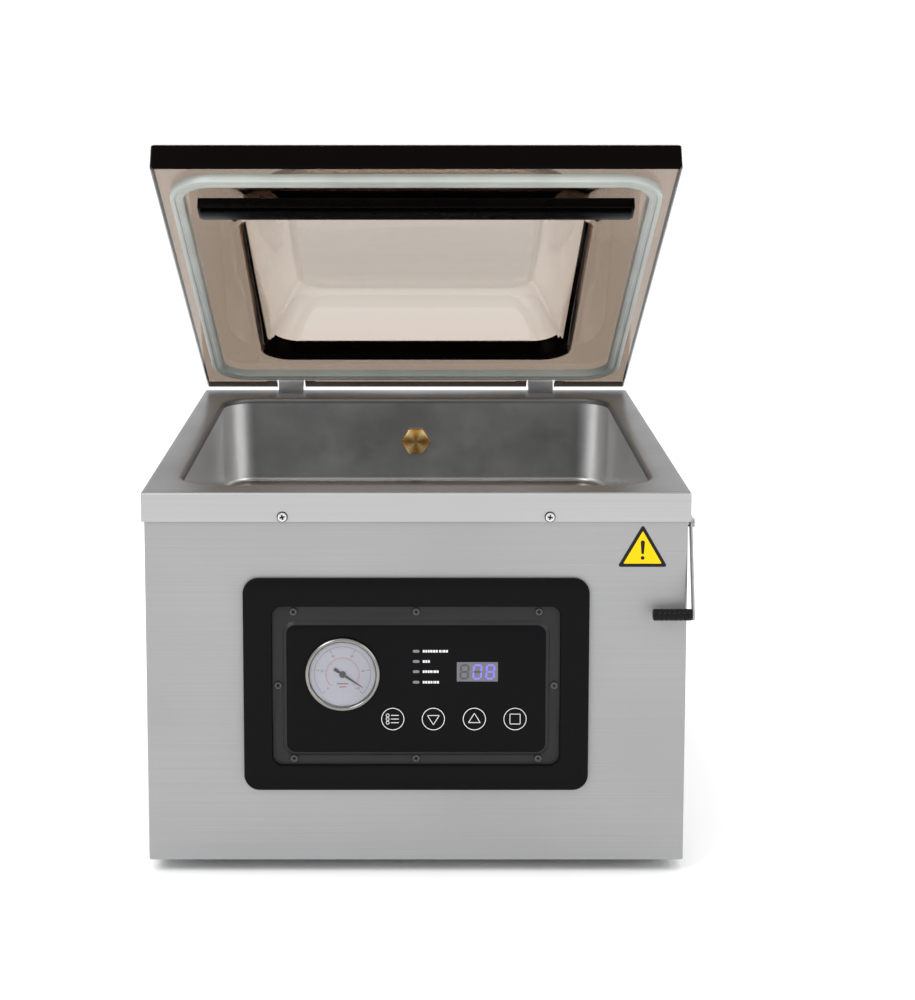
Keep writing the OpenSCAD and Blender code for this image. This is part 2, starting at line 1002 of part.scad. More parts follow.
casing_wrap();
rear_panel();
base_pan();
rubber_feet();
top_deck();
chamber_tub();
panel_screws();
control_bezel();
control_frame();
frame_screws();
keypad_plate();
gauge_bezel();
gauge_case();
gauge_glass();
gauge_dial();
gauge_pointer();
display_module();
indicator_lights();
key_menu();
key_down();
key_up();
key_stop();
tact_switches();
control_board();
hazard_label();
port_nut();
port_elbow();
suction_hoses();
valve_block();
solenoid_coils();
pump_body();
oil_case();
oil_sight_glass();
exhaust_filter();
motor_housing();
fan_cover();
motor_shaft();
motor_rotor();
motor_fan();
pump_mounts();
seal_transformer();
power_board();
power_inlet();
switch_housing();
power_rocker();
lid_sensor();
hinge_blocks();
hinge_pins();
hinge_springs();
lid_glass();
lid_gasket();
counter_bar();
counter_rubber();
seal_bar();
seal_wire();
lift_rods();
lift_cylinders();
latch_pivot();
latch_arm();
latch_grip();
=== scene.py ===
import json
import math

import bmesh
import bpy
from mathutils import Matrix, Vector


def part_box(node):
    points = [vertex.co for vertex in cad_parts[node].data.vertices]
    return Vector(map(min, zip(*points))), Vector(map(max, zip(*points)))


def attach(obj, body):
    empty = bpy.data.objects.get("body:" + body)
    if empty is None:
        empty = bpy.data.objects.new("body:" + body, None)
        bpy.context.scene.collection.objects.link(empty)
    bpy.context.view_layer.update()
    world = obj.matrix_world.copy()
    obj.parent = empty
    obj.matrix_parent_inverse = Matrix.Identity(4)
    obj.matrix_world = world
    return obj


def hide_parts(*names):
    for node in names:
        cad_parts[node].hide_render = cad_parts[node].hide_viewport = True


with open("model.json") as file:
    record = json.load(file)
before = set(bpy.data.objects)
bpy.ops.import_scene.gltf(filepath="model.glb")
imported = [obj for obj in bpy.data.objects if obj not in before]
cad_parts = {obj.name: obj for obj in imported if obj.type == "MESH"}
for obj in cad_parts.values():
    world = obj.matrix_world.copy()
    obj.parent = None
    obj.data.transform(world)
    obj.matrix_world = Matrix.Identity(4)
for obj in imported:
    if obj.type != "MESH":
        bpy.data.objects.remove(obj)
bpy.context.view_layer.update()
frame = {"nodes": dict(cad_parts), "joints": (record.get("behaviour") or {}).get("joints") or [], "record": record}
nodes = frame["nodes"]
MM = 0.001
THROUGH = 10 * MM          # how far a cutter reaches past the sheet it cuts
SMALL_GAP = 0.05 * MM      # how far a print sinks into its surface
QUARTER = math.pi / 2
TO_FRONT = Matrix.Rotation(QUARTER, 4, "X")      # local +Z becomes -Y

body_of = {}
for body_name, members in frame["record"]["behaviour"]["bodies"].items():
    for member in members:
        body_of[member] = body_name


# -------------------- pieces

def mesh_from(bm, name, fix_normals=True):
    """Writes a bmesh into a new mesh, and frees it."""
    if fix_normals:
        bmesh.ops.recalc_face_normals(bm, faces=bm.faces)
    mesh = bpy.data.meshes.new(name)
    bm.to_mesh(mesh)
    bm.free()
    return mesh


def linked(name, mesh):
    """An object for a mesh, linked to the scene."""
    obj = bpy.data.objects.new(name, mesh)
    bpy.context.scene.collection.objects.link(obj)
    return obj


def solid(name, bm):
    """An object made from a bmesh, not dressed yet."""
    return linked(name, mesh_from(bm, name))


def shade(obj, angle):
    """Smooth shading, with sharp edges where faces meet at more than the angle in degrees."""
    bm = bmesh.new()
    bm.from_mesh(obj.data)
    for face in bm.faces:
        face.smooth = True
    limit = math.radians(angle)
    for edge in bm.edges:
        edge.smooth = len(edge.link_faces) == 2 and edge.calc_face_angle(0) < limit
    bm.to_mesh(obj.data)
    bm.free()


def dress(obj, body, mat, node=None, angle=30):
    """Gives a piece its material, shading and body, and hides the CAD node it stands for."""
    obj.data.materials.clear()
    obj.data.materials.append(mat)
    shade(obj, angle)
    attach(obj, body)
    if node:
        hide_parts(node)
    return obj


def new_piece(name, bm, body, mat, node=None, angle=30):
    """A dressed piece made from a bmesh."""
    return dress(solid(name, bm), body, mat, node, angle)


def stand_in(node, bm, mat, angle=30):
    """The piece that stands for a CAD node and has its name."""
    return new_piece(node + "_piece", bm, body_of[node], mat, node, angle)


def apply_modifiers(obj):
    """Writes the object's modifiers into its mesh."""
    bpy.context.view_layer.update()
    graph = bpy.context.evaluated_depsgraph_get()
    mesh = bpy.data.meshes.new_from_object(obj.evaluated_get(graph))
    obj.modifiers.clear()
    obj.data = mesh


def rounded(obj, width, segments=3):
    """Rounds a solid's distinct edges, and writes the result."""
    bevel = obj.modifiers.new("round", "BEVEL")
    bevel.width = width
    bevel.segments = segments
    bevel.limit_method = "ANGLE"
    bevel.angle_limit = math.radians(35)
    bevel.harden_normals = False
    apply_modifiers(obj)


def node_bmesh(node):
    """A CAD node's own solid, with its corners joined."""
    bm = bmesh.new()
    bm.from_mesh(nodes[node].data)
    bmesh.ops.remove_doubles(bm, verts=bm.verts, dist=1e-6)
    return bm


def refined(node, width, mat, segments=3, angle=40):
    """A piece made from a CAD node's own solid: its flat faces are joined, then its edges are rounded."""
    bm = node_bmesh(node)
    bmesh.ops.dissolve_limit(bm, angle_limit=math.radians(1), verts=bm.verts, edges=bm.edges)
    name = node + "_piece"
    obj = linked(name, mesh_from(bm, name, fix_normals=False))
    rounded(obj, width, segments)
    return dress(obj, body_of[node], mat, node, angle)


def cut(obj, cutter_bm):
    """Cuts a bmesh's solids out of an object, and writes the result."""
    cutter = solid("cutter", cutter_bm)
    boolean = obj.modifiers.new("cut", "BOOLEAN")
    boolean.operation = "DIFFERENCE"
    boolean.solver = "EXACT"
    boolean.use_self = False
    boolean.object = cutter
    apply_modifiers(obj)
    bpy.data.objects.remove(cutter)


def middle(node):
    """The middle of a CAD node's box, and half its size."""
    lo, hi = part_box(node)
    return (lo + hi) / 2, (hi - lo) / 2


# -------------------- shapes

def ring(half_x, half_y, radius, z, mid=(0.0, 0.0), seg=8):
    """Points round a rounded rectangle at height z, counter-clockwise from above."""
    pts = []
    radius = min(radius, half_x, half_y)
    for k, (sx, sy) in enumerate([(1, 1), (-1, 1), (-1, -1), (1, -1)]):
        cx = mid[0] + sx * (half_x - radius)
        cy = mid[1] + sy * (half_y - radius)
        for i in range(seg + 1):
            a = QUARTER * (k + i / seg)
            pts.append(Vector((cx + radius * math.cos(a), cy + radius * math.sin(a), z)))
    return pts


def quarter(steps):
    """How far a unit arc has moved inward and up, at each step of its quarter turn."""
    turns = [QUARTER * k / steps for k in range(steps + 1)]
    return [(1 - math.cos(a), math.sin(a)) for a in turns]


def flat_ring(half_x, half_y, radius, seg=6):
    """A rounded rectangle's points in the plane."""
    return [(p.x, p.y) for p in ring(half_x, half_y, radius, 0, seg=seg)]


def circle(radius, seg):
    """Points round a circle in the plane."""
    turns = [2 * math.pi * i / seg for i in range(seg)]
    return [(radius * math.cos(a), radius * math.sin(a)) for a in turns]


def loft(rings, closed=False):
    """A solid skin through rings of equal point count. A closed one joins its last ring to its first."""
    bm = bmesh.new()
    rows = [[bm.verts.new(p) for p in r] for r in rings]
    pairs = list(zip(rows, rows[1:]))
    if closed:
        pairs.append((rows[-1], rows[0]))
    count = len(rows[0])
    for a, b in pairs:
        for i in range(count):
            j = (i + 1) % count
            bm.faces.new((a[i], a[j], b[j], b[i]))
    if not closed:
        bm.faces.new(rows[0])
        bm.faces.new(rows[-1])
    return bm


def lathe(profile, seg=64):
    """Turns a profile of (radius, height) about Z. A radius of 0 closes the end."""
    bm = bmesh.new()
    rows = []
    for r, h in profile:
        points = circle(r, seg) if r > 0 else [(0, 0)]
        rows.append([bm.verts.new((x, y, h)) for x, y in points])
    for a, b in zip(rows, rows[1:]):
        for i in range(seg):
            j = (i + 1) % seg
            if len(a) == 1:
                bm.faces.new((a[0], b[j], b[i]))
            elif len(b) == 1:
                bm.faces.new((a[i], a[j], b[0]))
            else:
                bm.faces.new((a[i], a[j], b[j], b[i]))
    return bm


def prism(outline, y0, y1):
    """A solid with an outline in X and Z, from y0 to y1."""
    return loft([[(x, y, z) for x, z in outline] for y in (y0, y1)])


def add_box(bm, lo, hi):
    """Adds a box between two corners to a bmesh."""
    lo, hi = Vector(lo), Vector(hi)
    made = bmesh.ops.create_cube(bm, size=1.0)["verts"]
    place = Matrix.Translation((lo + hi) / 2) @ Matrix.Diagonal((*(hi - lo), 1.0))
    bmesh.ops.transform(bm, matrix=place, verts=made)


def moved(bm, matrix):
    """Moves all of a bmesh."""
    bmesh.ops.transform(bm, matrix=matrix, verts=bm.verts)
    return bm


def facing_front(bm, place):
    """Turns a bmesh's +Z to the front and puts its foot at a place."""
    return moved(bm, Matrix.Translation(place) @ TO_FRONT)


def join(bm, other):
    """Copies another bmesh into bm, and frees it."""
    mesh = bpy.data.meshes.new("part")
    other.to_mesh(mesh)
    other.free()
    bm.from_mesh(mesh)
    bpy.data.meshes.remove(mesh)


def prisms(outlines, y0, y1):
    """Many prisms in one bmesh."""
    bm = bmesh.new()
    for outline in outlines:
        join(bm, prism(outline, y0, y1))
    return bm


# -------------------- shader nodes

def feed(tree, socket, value):
    """Links another node's output to a socket, or sets the socket to a constant."""
    if isinstance(value, bpy.types.NodeSocket):
        tree.links.new(value, socket)
    else:
        socket.default_value = value


def set_inputs(tree, node, **inputs):
    """Feeds a node's inputs. The spaces in an input's name are written as underscores."""
    for key, value in inputs.items():
        feed(tree, node.inputs[key.replace("_", " ")], value)
    return node


def add_node(tree, kind, **inputs):
    return set_inputs(tree, tree.nodes.new("ShaderNode" + kind), **inputs)


def shader(name, color, rough, metallic=0.0, **sockets):
    """A Principled material. Returns the material, its node tree and the shader."""
    mat = bpy.data.materials.new(name)
    mat.use_nodes = True
    tree = mat.node_tree
    bsdf = tree.nodes["Principled BSDF"]
    set_inputs(tree, bsdf, Base_Color=(*color, 1.0), Roughness=rough, Metallic=metallic, **sockets)
    return mat, tree, bsdf


def coordinates(tree, scale=(1, 1, 1), **inputs):
    """Object coordinates, scaled."""
    coord = add_node(tree, "TexCoord").outputs["Object"]
    return add_node(tree, "Mapping", Vector=coord, Scale=scale, **inputs).outputs["Vector"]


def noise(tree, vector, scale, detail=3.0, rough=0.5):
    node = add_node(tree, "TexNoise", Vector=vector, Scale=scale, Detail=detail, Roughness=rough)
    return node.outputs["Fac"]


def remap(tree, value, low, high, from_low=0.3, from_high=0.7):
    limits = {"From_Min": from_low, "From_Max": from_high, "To_Min": low, "To_Max": high}
    return add_node(tree, "MapRange", Value=value, **limits).outputs["Result"]


def blend_colors(tree, factor, low, high):
    """Two colours mixed by a factor. Each is a constant or another node's output."""
    node = add_node(tree, "Mix")
    node.data_type = "RGBA"
    ends = [c if isinstance(c, bpy.types.NodeSocket) else (*c, 1.0) for c in (low, high)]
    return set_inputs(tree, node, A=ends[0], B=ends[1], Factor=factor).outputs["Result"]


def calculate(tree, operation, *values):
    node = add_node(tree, "Math")
    node.operation = operation
    for socket, value in zip(node.inputs, values):
        feed(tree, socket, value)
    return node.outputs["Value"]


def multiply(tree, a, b):
    return calculate(tree, "MULTIPLY", a, b)


def add_bump(tree, bsdf, height, strength, distance):
    node = add_node(tree, "Bump", Strength=strength, Distance=distance, Height=height)
    set_inputs(tree, bsdf, Normal=node.outputs["Normal"])


def mottled(tree, bsdf, color, pattern, contrast):
    """Base colour that varies about a colour with a pattern."""
    light = tuple(min(1.0, c * (1 + contrast)) for c in color)
    dark = tuple(c * (1 - contrast) for c in color)
    set_inputs(tree, bsdf, Base_Color=blend_colors(tree, remap(tree, pattern, 0, 1), dark, light))


# -------------------- materials

def brushed_steel(name, color, rough, grain, contrast=0.10, bump=0.12, metallic=1.0):
    """Steel with a fine directional grain: streaks in colour, roughness and bump, under broad clouds."""
    mat, tree, bsdf = shader(name, color, rough, metallic, Anisotropic=0.5)
    streaks = noise(tree, coordinates(tree, grain), 2.0, 4.0, 0.65)
    clouds = noise(tree, coordinates(tree), 5.0, 2.0)
    mottled(tree, bsdf, color, streaks, contrast)
    broad = remap(tree, clouds, rough - 0.08, rough + 0.08)
    set_inputs(tree, bsdf, Roughness=multiply(tree, remap(tree, streaks, 0.85, 1.15), broad))
    add_bump(tree, bsdf, streaks, bump, 0.0002)
    return mat


def chamber_steel(name, wall, painted_highlight, rough):
    """Satin pressed steel with a painted reflection: dull on the walls across the machine, where it mirrors the
    dark lid, and pale on its side walls and corners, painted as if they mirrored the lights.
    """
    mat, tree, bsdf = shader(name, wall, rough, 1.0)
    cloud = noise(tree, coordinates(tree), 7.0, 5.0, 0.7)
    fine = noise(tree, coordinates(tree), 700.0, 2.0)
    split = add_node(tree, "SeparateXYZ", Vector=add_node(tree, "NewGeometry").outputs["Normal"])
    reflection_mask = multiply(tree, split.outputs["X"], split.outputs["X"])
    duller = tuple(c * 0.86 for c in wall)
    paler = tuple(c * 1.16 for c in wall)
    dark = blend_colors(tree, remap(tree, cloud, 0, 1), duller, paler)
    # Painted reflection: faces that look sideways get the pale colour, standing in for the lights mirrored in the
    # side walls and corners.
    color = blend_colors(tree, remap(tree, reflection_mask, 0.0, 1.0, 0.02, 0.45), dark, painted_highlight)
    set_inputs(tree, bsdf, Base_Color=color, Roughness=remap(tree, cloud, rough - 0.05, rough + 0.07))
    add_bump(tree, bsdf, fine, 0.04, 0.0001)
    return mat


def grained(name, color, rough, size=900.0, bump=0.15, metallic=0.0, contrast=0.12, spread=0.08, **sockets):
    """A moulded or cast surface: fine grain in bump, and slight variation in colour and roughness."""
    mat, tree, bsdf = shader(name, color, rough, metallic, **sockets)
    space = coordinates(tree)
    fine = noise(tree, space, size, 2.0)
    broad = noise(tree, space, 18.0, 3.0)
    mottled(tree, bsdf, color, broad, contrast)
    set_inputs(tree, bsdf, Roughness=remap(tree, broad, max(0.02, rough - spread), rough + spread))
    add_bump(tree, bsdf, fine, bump, 0.0001)
    return mat


def coated(name, color, rough, **sockets):
    """A glossy moulding or film: a smooth coat with faint smudges and orange-peel."""
    mat, tree, bsdf = shader(name, color, rough, **sockets)
    space = coordinates(tree)
    smudges = noise(tree, space, 22.0, 4.0, 0.6)
    peel = noise(tree, space, 260.0, 1.0)
    set_inputs(tree, bsdf, Roughness=remap(tree, smudges, rough * 0.6, rough * 1.7))
    add_bump(tree, bsdf, peel, 0.02, 0.0001)
    return mat


def acrylic(name, tint, density):
    """Clear acrylic that darkens with the length of plate the light crosses."""
    mat, tree, bsdf = shader(name, (1, 1, 1), 0.03, IOR=1.49, Transmission_Weight=1.0)
    space = coordinates(tree)
    set_inputs(tree, bsdf, Roughness=remap(tree, noise(tree, space, 9.0, 3.0), 0.01, 0.06))
    add_bump(tree, bsdf, noise(tree, space, 6.0, 0.0), 0.30, 0.004)
    absorb = add_node(tree, "VolumeAbsorption", Color=(*tint, 1.0), Density=density)
    set_inputs(tree, tree.nodes["Material Output"], Volume=absorb.outputs["Volume"])
    return mat


def glowing(name, color, strength):
    """A lamp's face, lit from behind."""
    dark = (0.02, 0.02, 0.02)
    mat, tree, bsdf = shader(name, dark, 0.3, Emission_Strength=strength, Emission_Color=(*color, 1.0))
    add_bump(tree, bsdf, noise(tree, coordinates(tree), 800.0, 1.0), 0.03, 0.0001)
    return mat


def turned_brass(node):
    """Brass with a lathe's rings, and a painted highlight in pale sectors round a fitting's axis, which runs along
    Y.
    """
    mat, tree, bsdf = shader("brass_turned", (0.62, 0.40, 0.13), 0.28, 1.0, Anisotropic=0.4)
    mid = middle(node)[0]
    centred = coordinates(tree, Location=(-mid.x, 0, -mid.z))
    flat = add_node(tree, "Mapping", Vector=centred, Scale=(1, 0, 1)).outputs["Vector"]
    length = add_node(tree, "VectorMath")
    length.operation = "LENGTH"
    feed(tree, length.inputs[0], flat)
    texture = add_node(tree, "TexNoise")
    texture.noise_dimensions = "1D"
    rings = set_inputs(tree, texture, Scale=1800.0, W=length.outputs["Value"]).outputs["Fac"]
    split = add_node(tree, "SeparateXYZ", Vector=centred).outputs
    # Painted highlight: a pattern round the axis stands in for the light that turned brass catches in an X shape.
    turn = calculate(tree, "ARCTAN2", split["Z"], split["X"])
    painted_sectors = calculate(tree, "COSINE", multiply(tree, turn, 4.0))
    rings_and_sheen = multiply(tree, remap(tree, rings, 0.7, 1.0), remap(tree, painted_sectors, 1.0, 0.0, -1.0, 0.8))
    color = blend_colors(tree, rings_and_sheen, (0.42, 0.20, 0.045), (0.74, 0.56, 0.26))
    set_inputs(tree, bsdf, Base_Color=color, Roughness=remap(tree, rings, 0.2, 0.36))
    add_bump(tree, bsdf, rings, 0.25, 0.0002)
    return mat


SHEET_GRAIN = (1.5, 1.5, 620.0)
PANEL_STEEL = brushed_steel("panel_steel", (0.325, 0.325, 0.328), 0.52, SHEET_GRAIN, 0.08, metallic=0.7)
APRON_STEEL = brushed_steel("apron_steel", (0.405, 0.405, 0.408), 0.50, SHEET_GRAIN, 0.06, metallic=0.7)
# The deck's top and its apron are one sheet; the top is painted much darker, a painted reflection of the dark lid
# above it.
DECK_STEEL_SHADED = brushed_steel("deck_steel_shaded", (0.165, 0.165, 0.168), 0.36, (2.0, 520.0, 520.0), 0.10, 0.05, 0.85)
TUB_STEEL = chamber_steel("tub_steel", (0.30, 0.30, 0.30), (0.92, 0.92, 0.92), 0.33)
BRIGHT_STEEL = brushed_steel("bright_steel", (0.62, 0.62, 0.62), 0.28, (300.0, 300.0, 900.0), bump=0.05)
LATCH_STEEL = brushed_steel("latch_steel", (0.34, 0.34, 0.34), 0.34, (300.0, 300.0, 60.0), bump=0.05)
ALUMINIUM = brushed_steel("aluminium_bar", (0.6, 0.6, 0.61), 0.36, (2.0, 300.0, 300.0), bump=0.05)
BRASS = turned_brass("port_nut")
CHROME = grained("gauge_chrome", (0.24, 0.23, 0.215), 0.14, 300.0, 0.02, 1.0, 0.04, 0.04)
PAN_STEEL = grained("pan_steel", (0.35, 0.36, 0.37), 0.5, 120.0, 0.1, 1.0)
GLOSS_BLACK = coated("gloss_black", (0.004, 0.004, 0.0045), 0.10, Specular_IOR_Level=0.05)
FILM_BLACK = coated("film_black", (0.003, 0.003, 0.0035), 0.16, Specular_IOR_Level=0.06)
KEY_BLACK = coated("key_black", (0.0035, 0.0035, 0.004), 0.15, Specular_IOR_Level=0.06)
FRAME_BLACK = grained("frame_black", (0.011, 0.011, 0.012), 0.40, 1500.0, 0.2, Specular_IOR_Level=0.25)
RUBBER = grained("rubber_black", (0.008, 0.008, 0.008), 0.62, 900.0, 0.25, Specular_IOR_Level=0.25)
GRIP_BLACK = grained("grip_black", (0.004, 0.004, 0.0042), 0.34, 900.0, 0.15, Specular_IOR_Level=0.12)
BAR_BLACK = grained("bar_black", (0.0008, 0.0008, 0.0009), 0.30, 700.0, 0.1, Specular_IOR_Level=0.05)
SCREW_BLACK = grained("screw_black", (0.065, 0.065, 0.067), 0.26, 700.0, 0.1, 0.8)
SWITCH_BLACK = grained("switch_black", (0.02, 0.02, 0.02), 0.4, 1300.0, 0.15)
PRINT_WHITE = grained("print_white", (0.72, 0.72, 0.72), 0.5, 900.0, 0.05)
DIAL_WHITE = grained("dial_white", (0.43, 0.44, 0.505), 0.45, 700.0, 0.03)
DIAL_GREY = grained("dial_grey", (0.10, 0.11, 0.13), 0.5, 900.0, 0.05)
DIAL_RED = grained("dial_red", (0.55, 0.03, 0.02), 0.5, 900.0, 0.05)
LAMP_GREY = coated("lamp_grey", (0.16, 0.16, 0.17), 0.25)
DISPLAY_GREY = coated("display_grey", (0.115, 0.115, 0.125), 0.22)
SEGMENT_OFF = coated("segment_off", (0.05, 0.05, 0.055), 0.3)
SEGMENT_ON = glowing("segment_on", (0.24, 0.20, 0.98), 1.05)
YELLOW = coated("label_yellow", (0.80, 0.50, 0.0), 0.30, Specular_IOR_Level=0.15)
# Black for print and the pointer, also used for the painted shade in the screws' recesses and their painted shadow
# rings.
BLACK_AND_PAINTED_SHADE = coated("black_and_painted_shade", (0.008, 0.008, 0.009), 0.3, Specular_IOR_Level=0.15)
GASKET = grained("gasket_silicone", (0.50, 0.53, 0.50), 0.38, 500.0, 0.08, Subsurface_Weight=0.25,
                 Subsurface_Radius=(0.004, 0.004, 0.004), Transmission_Weight=0.25)
TAPE = grained("seal_tape", (0.28, 0.17, 0.08), 0.5, 1400.0, 0.3)
IRON = grained("pump_iron", (0.10, 0.10, 0.105), 0.6, 220.0, 0.5, 0.3)
MOTOR_PAINT = grained("motor_paint", (0.06, 0.10, 0.18), 0.4, 500.0, 0.2)
BOARD_GREEN = grained("board_green", (0.01, 0.10, 0.04), 0.35, 400.0, 0.1)
ROCKER_RED = coated("rocker_red", (0.42, 0.012, 0.012), 0.2)
FAN_WHITE = grained("fan_white", (0.6, 0.6, 0.58), 0.45, 900.0, 0.1)
VARNISH = grained("transformer_varnish", (0.16, 0.07, 0.03), 0.35, 200.0, 0.3)
SIGHT = coated("sight_glass", (0.7, 0.55, 0.2), 0.1, Transmission_Weight=0.5)
LENS = shader("gauge_lens", (1, 1, 1), 0.02, IOR=1.45, Transmission_Weight=1.0)[0]
ACRYLIC = acrylic("acrylic_brown", (0.560, 0.455, 0.350), 74.0)
# Painted shade and tone for the clear lid: near-black on its edges and in the band inside its mouth, where the
# tinted plate looks dark, and taupe on its rear edge for the light seen through it.
ACRYLIC_SHADE = coated("acrylic_painted_shade", (0.0015, 0.0006, 0.0004), 0.12, Specular_IOR_Level=0.03)
ACRYLIC_REAR_PAINT = coated("acrylic_rear_painted", (0.17, 0.14, 0.12), 0.3, Specular_IOR_Level=0.2)


# -------------------- camera, light, floor

def make_camera():
    data = bpy.data.cameras.new("camera")
    data.lens = 72.17
    data.sensor_width = 36.0
    data.shift_x = 0.0426
    data.shift_y = -0.20
    cam = linked("camera", data)
    cam.location = (-1.1 * MM, -2026 * MM, 732.3 * MM)
    cam.rotation_euler = (math.radians(90 - 6.80), 0, 0)
    bpy.context.scene.camera = cam


def area_light(name, place, size, power):
    """A rectangular light that points at the machine's middle."""
    data = bpy.data.lights.new(name, "AREA")
    data.shape = "RECTANGLE"
    data.size, data.size_y = size
    data.energy = power
    obj = linked(name, data)
    obj.location = place
    obj.rotation_euler = (Vector((0, 0, 0.3)) - Vector(place)).to_track_quat("-Z", "Y").to_euler()


def make_studio():
    world = bpy.data.worlds.new("studio")
    world.use_nodes = True
    tree = world.node_tree
    set_inputs(tree, tree.nodes["Background"], Color=(1.0, 1.0, 1.0, 1), Strength=1.1)
    bpy.context.scene.world = world
    bpy.context.scene.view_settings.view_transform = "Standard"
    area_light("key", (-1.6, -1.6, 2.2), (1.4, 1.4), 38)
    area_light("fill", (1.9, -1.3, 1.3), (1.2, 1.6), 14)
    area_light("top", (0, 0.3, 2.6), (1.8, 1.2), 22)
    bpy.ops.mesh.primitive_plane_add(size=14, location=(0, 0, -0.0005))
    floor = bpy.context.object
    floor.name = "floor"
    floor.data.materials.append(shader("floor_white", (0.92, 0.92, 0.92), 0.7)[0])


make_camera()
make_studio()


# -------------------- sheet metal

SHEET = 1.5 * MM
TUB_CORNER = 37 * MM       # of the chamber's mouth, seen from above
RIM_DEPTH = 6 * MM         # how far the deck's mouth reaches down into the chamber


def bent_outline(points, radius, thickness, seg=6):
    """The closed outline of a strip bent along an open path, with a centreline radius at each bend."""
    left, right = [], []
    half = thickness / 2
    pts = [Vector(p) for p in points]
    for i, p in enumerate(pts):
        before = (p - pts[i - 1]).normalized() if i else None
        after = (pts[i + 1] - p).normalized() if i < len(pts) - 1 else None
        if before is None or after is None:
            d = after or before
            n = Vector((-d.y, d.x))
            left.append(p + n * half)
            right.append(p - n * half)
            continue
        cross = before.x * after.y - before.y * after.x
        turn = math.acos(max(-1, min(1, before.dot(after))))
        side = 1 if cross > 0 else -1
        reach = radius * math.tan(turn / 2)
        n = Vector((-before.y, before.x)) * side
        centre = p - before * reach + n * radius
        for k in range(seg + 1):
            a = side * turn * k / seg
            out = Matrix.Rotation(a, 2) @ (-n)
            left.append(centre + out * (radius - side * half))
            right.append(centre + out * (radius + side * half))
    return left + list(reversed(right))


def upright(outline, z0, z1):
    """A solid with an outline in X and Y, from z0 to z1."""
    return loft([[(p[0], p[1], z) for p in outline] for z in (z0, z1)])


def make_wrap():
    """The casing's front and sides in one bent sheet, with an opening for the panel and vent slots."""
    lo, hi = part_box("casing_wrap")
    half, flange, bend, gap = SHEET / 2, 20 * MM, 1.9 * MM, 1 * MM
    front, rear = lo.y + half, hi.y - half
    path = [(lo.x + flange, rear), (lo.x + half, rear), (lo.x + half, front),
            (hi.x - half, front), (hi.x - half, rear), (hi.x - flange, rear)]
    obj = solid("casing_wrap_piece", upright(bent_outline(path, bend, SHEET), lo.z, hi.z))
    cutter = bmesh.new()
    frame_lo, frame_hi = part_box("control_frame")
    add_box(cutter, (frame_lo.x - gap, lo.y - THROUGH, frame_lo.z - gap),
            (frame_hi.x + gap, lo.y + THROUGH, frame_hi.z + gap))
    slots, pitch, lowest, slot_y = 8, 12 * MM, 42.5 * MM, 120 * MM
    lying = Matrix.Rotation(QUARTER, 4, "Y") @ Matrix.Rotation(QUARTER, 4, "Z")
    for i in range(slots):
        for x in (-hi.x, hi.x):
            slot = upright(flat_ring(30 * MM, 2.5 * MM, 2.49 * MM), -THROUGH, THROUGH)
            join(cutter, moved(slot, Matrix.Translation((x, slot_y, lo.z + lowest + pitch * i)) @ lying))
    cut(obj, cutter)
    dress(obj, "casing", PANEL_STEEL, "casing_wrap", 25)


def make_deck():
    """The deck: turned-down apron, bent edge, flat top, and a rounded lip into the chamber's mouth."""
    hi, apron_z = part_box("top_deck")[1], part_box("top_deck")[0].z
    hw, hl, top = hi.x, hi.y, hi.z
    tub_mid, tub_half = middle("chamber_tub")
    ow, ol = tub_half.x - SHEET, tub_half.y - SHEET
    mid = (0.0, tub_mid.y)
    bend, lip, chamfer, steps = 2.6 * MM, 3.2 * MM, 0.3 * MM, 5
    corner, inner_corner, least_corner = 3 * MM, 1.6 * MM, 0.9 * MM
    rings = [ring(hw - SHEET, hl - SHEET, inner_corner, apron_z),
             ring(hw - chamfer, hl - chamfer, corner, apron_z), ring(hw, hl, corner, apron_z + chamfer)]
    for inward, up in quarter(steps):
        pull = bend * inward
        rings.append(ring(hw - pull, hl - pull, max(corner - pull, least_corner), top - bend * (1 - up)))
    rings.append(ring(hw - 6 * MM, hl - 6 * MM, 1 * MM, top))
    rings.append(ring(ow + 12 * MM, ol + 10 * MM, TUB_CORNER + 6 * MM, top, mid))
    for inward, up in quarter(steps):
        out = lip * (1 - up)
        rings.append(ring(ow + out, ol + out, TUB_CORNER + out, top - lip * inward, mid))
    rings.append(ring(ow, ol, TUB_CORNER, top - RIM_DEPTH, mid))
    rings.append(ring(ow + SHEET, ol + SHEET, TUB_CORNER + SHEET, top - RIM_DEPTH, mid))
    rings.append(ring(ow + lip + SHEET, ol + lip + SHEET, TUB_CORNER + lip, top - SHEET, mid))
    rings.append(ring(hw - SHEET, hl - SHEET, inner_corner, top - SHEET))
    obj = stand_in("top_deck", loft(rings, closed=True), DECK_STEEL_SHADED, 28)
    # Lit and shaded copies of one sheet: faces near the outer edge that don't look up get the paler apron steel,
    # and the top keeps the darker deck steel with its painted shade.
    obj.data.materials.append(APRON_STEEL)
    margin = 4 * MM
    for face in obj.data.polygons:
        outside = abs(face.center.x) > hw - margin or abs(face.center.y) > hl - margin
        if outside and face.normal.z < 0.6:
            face.material_index = 1


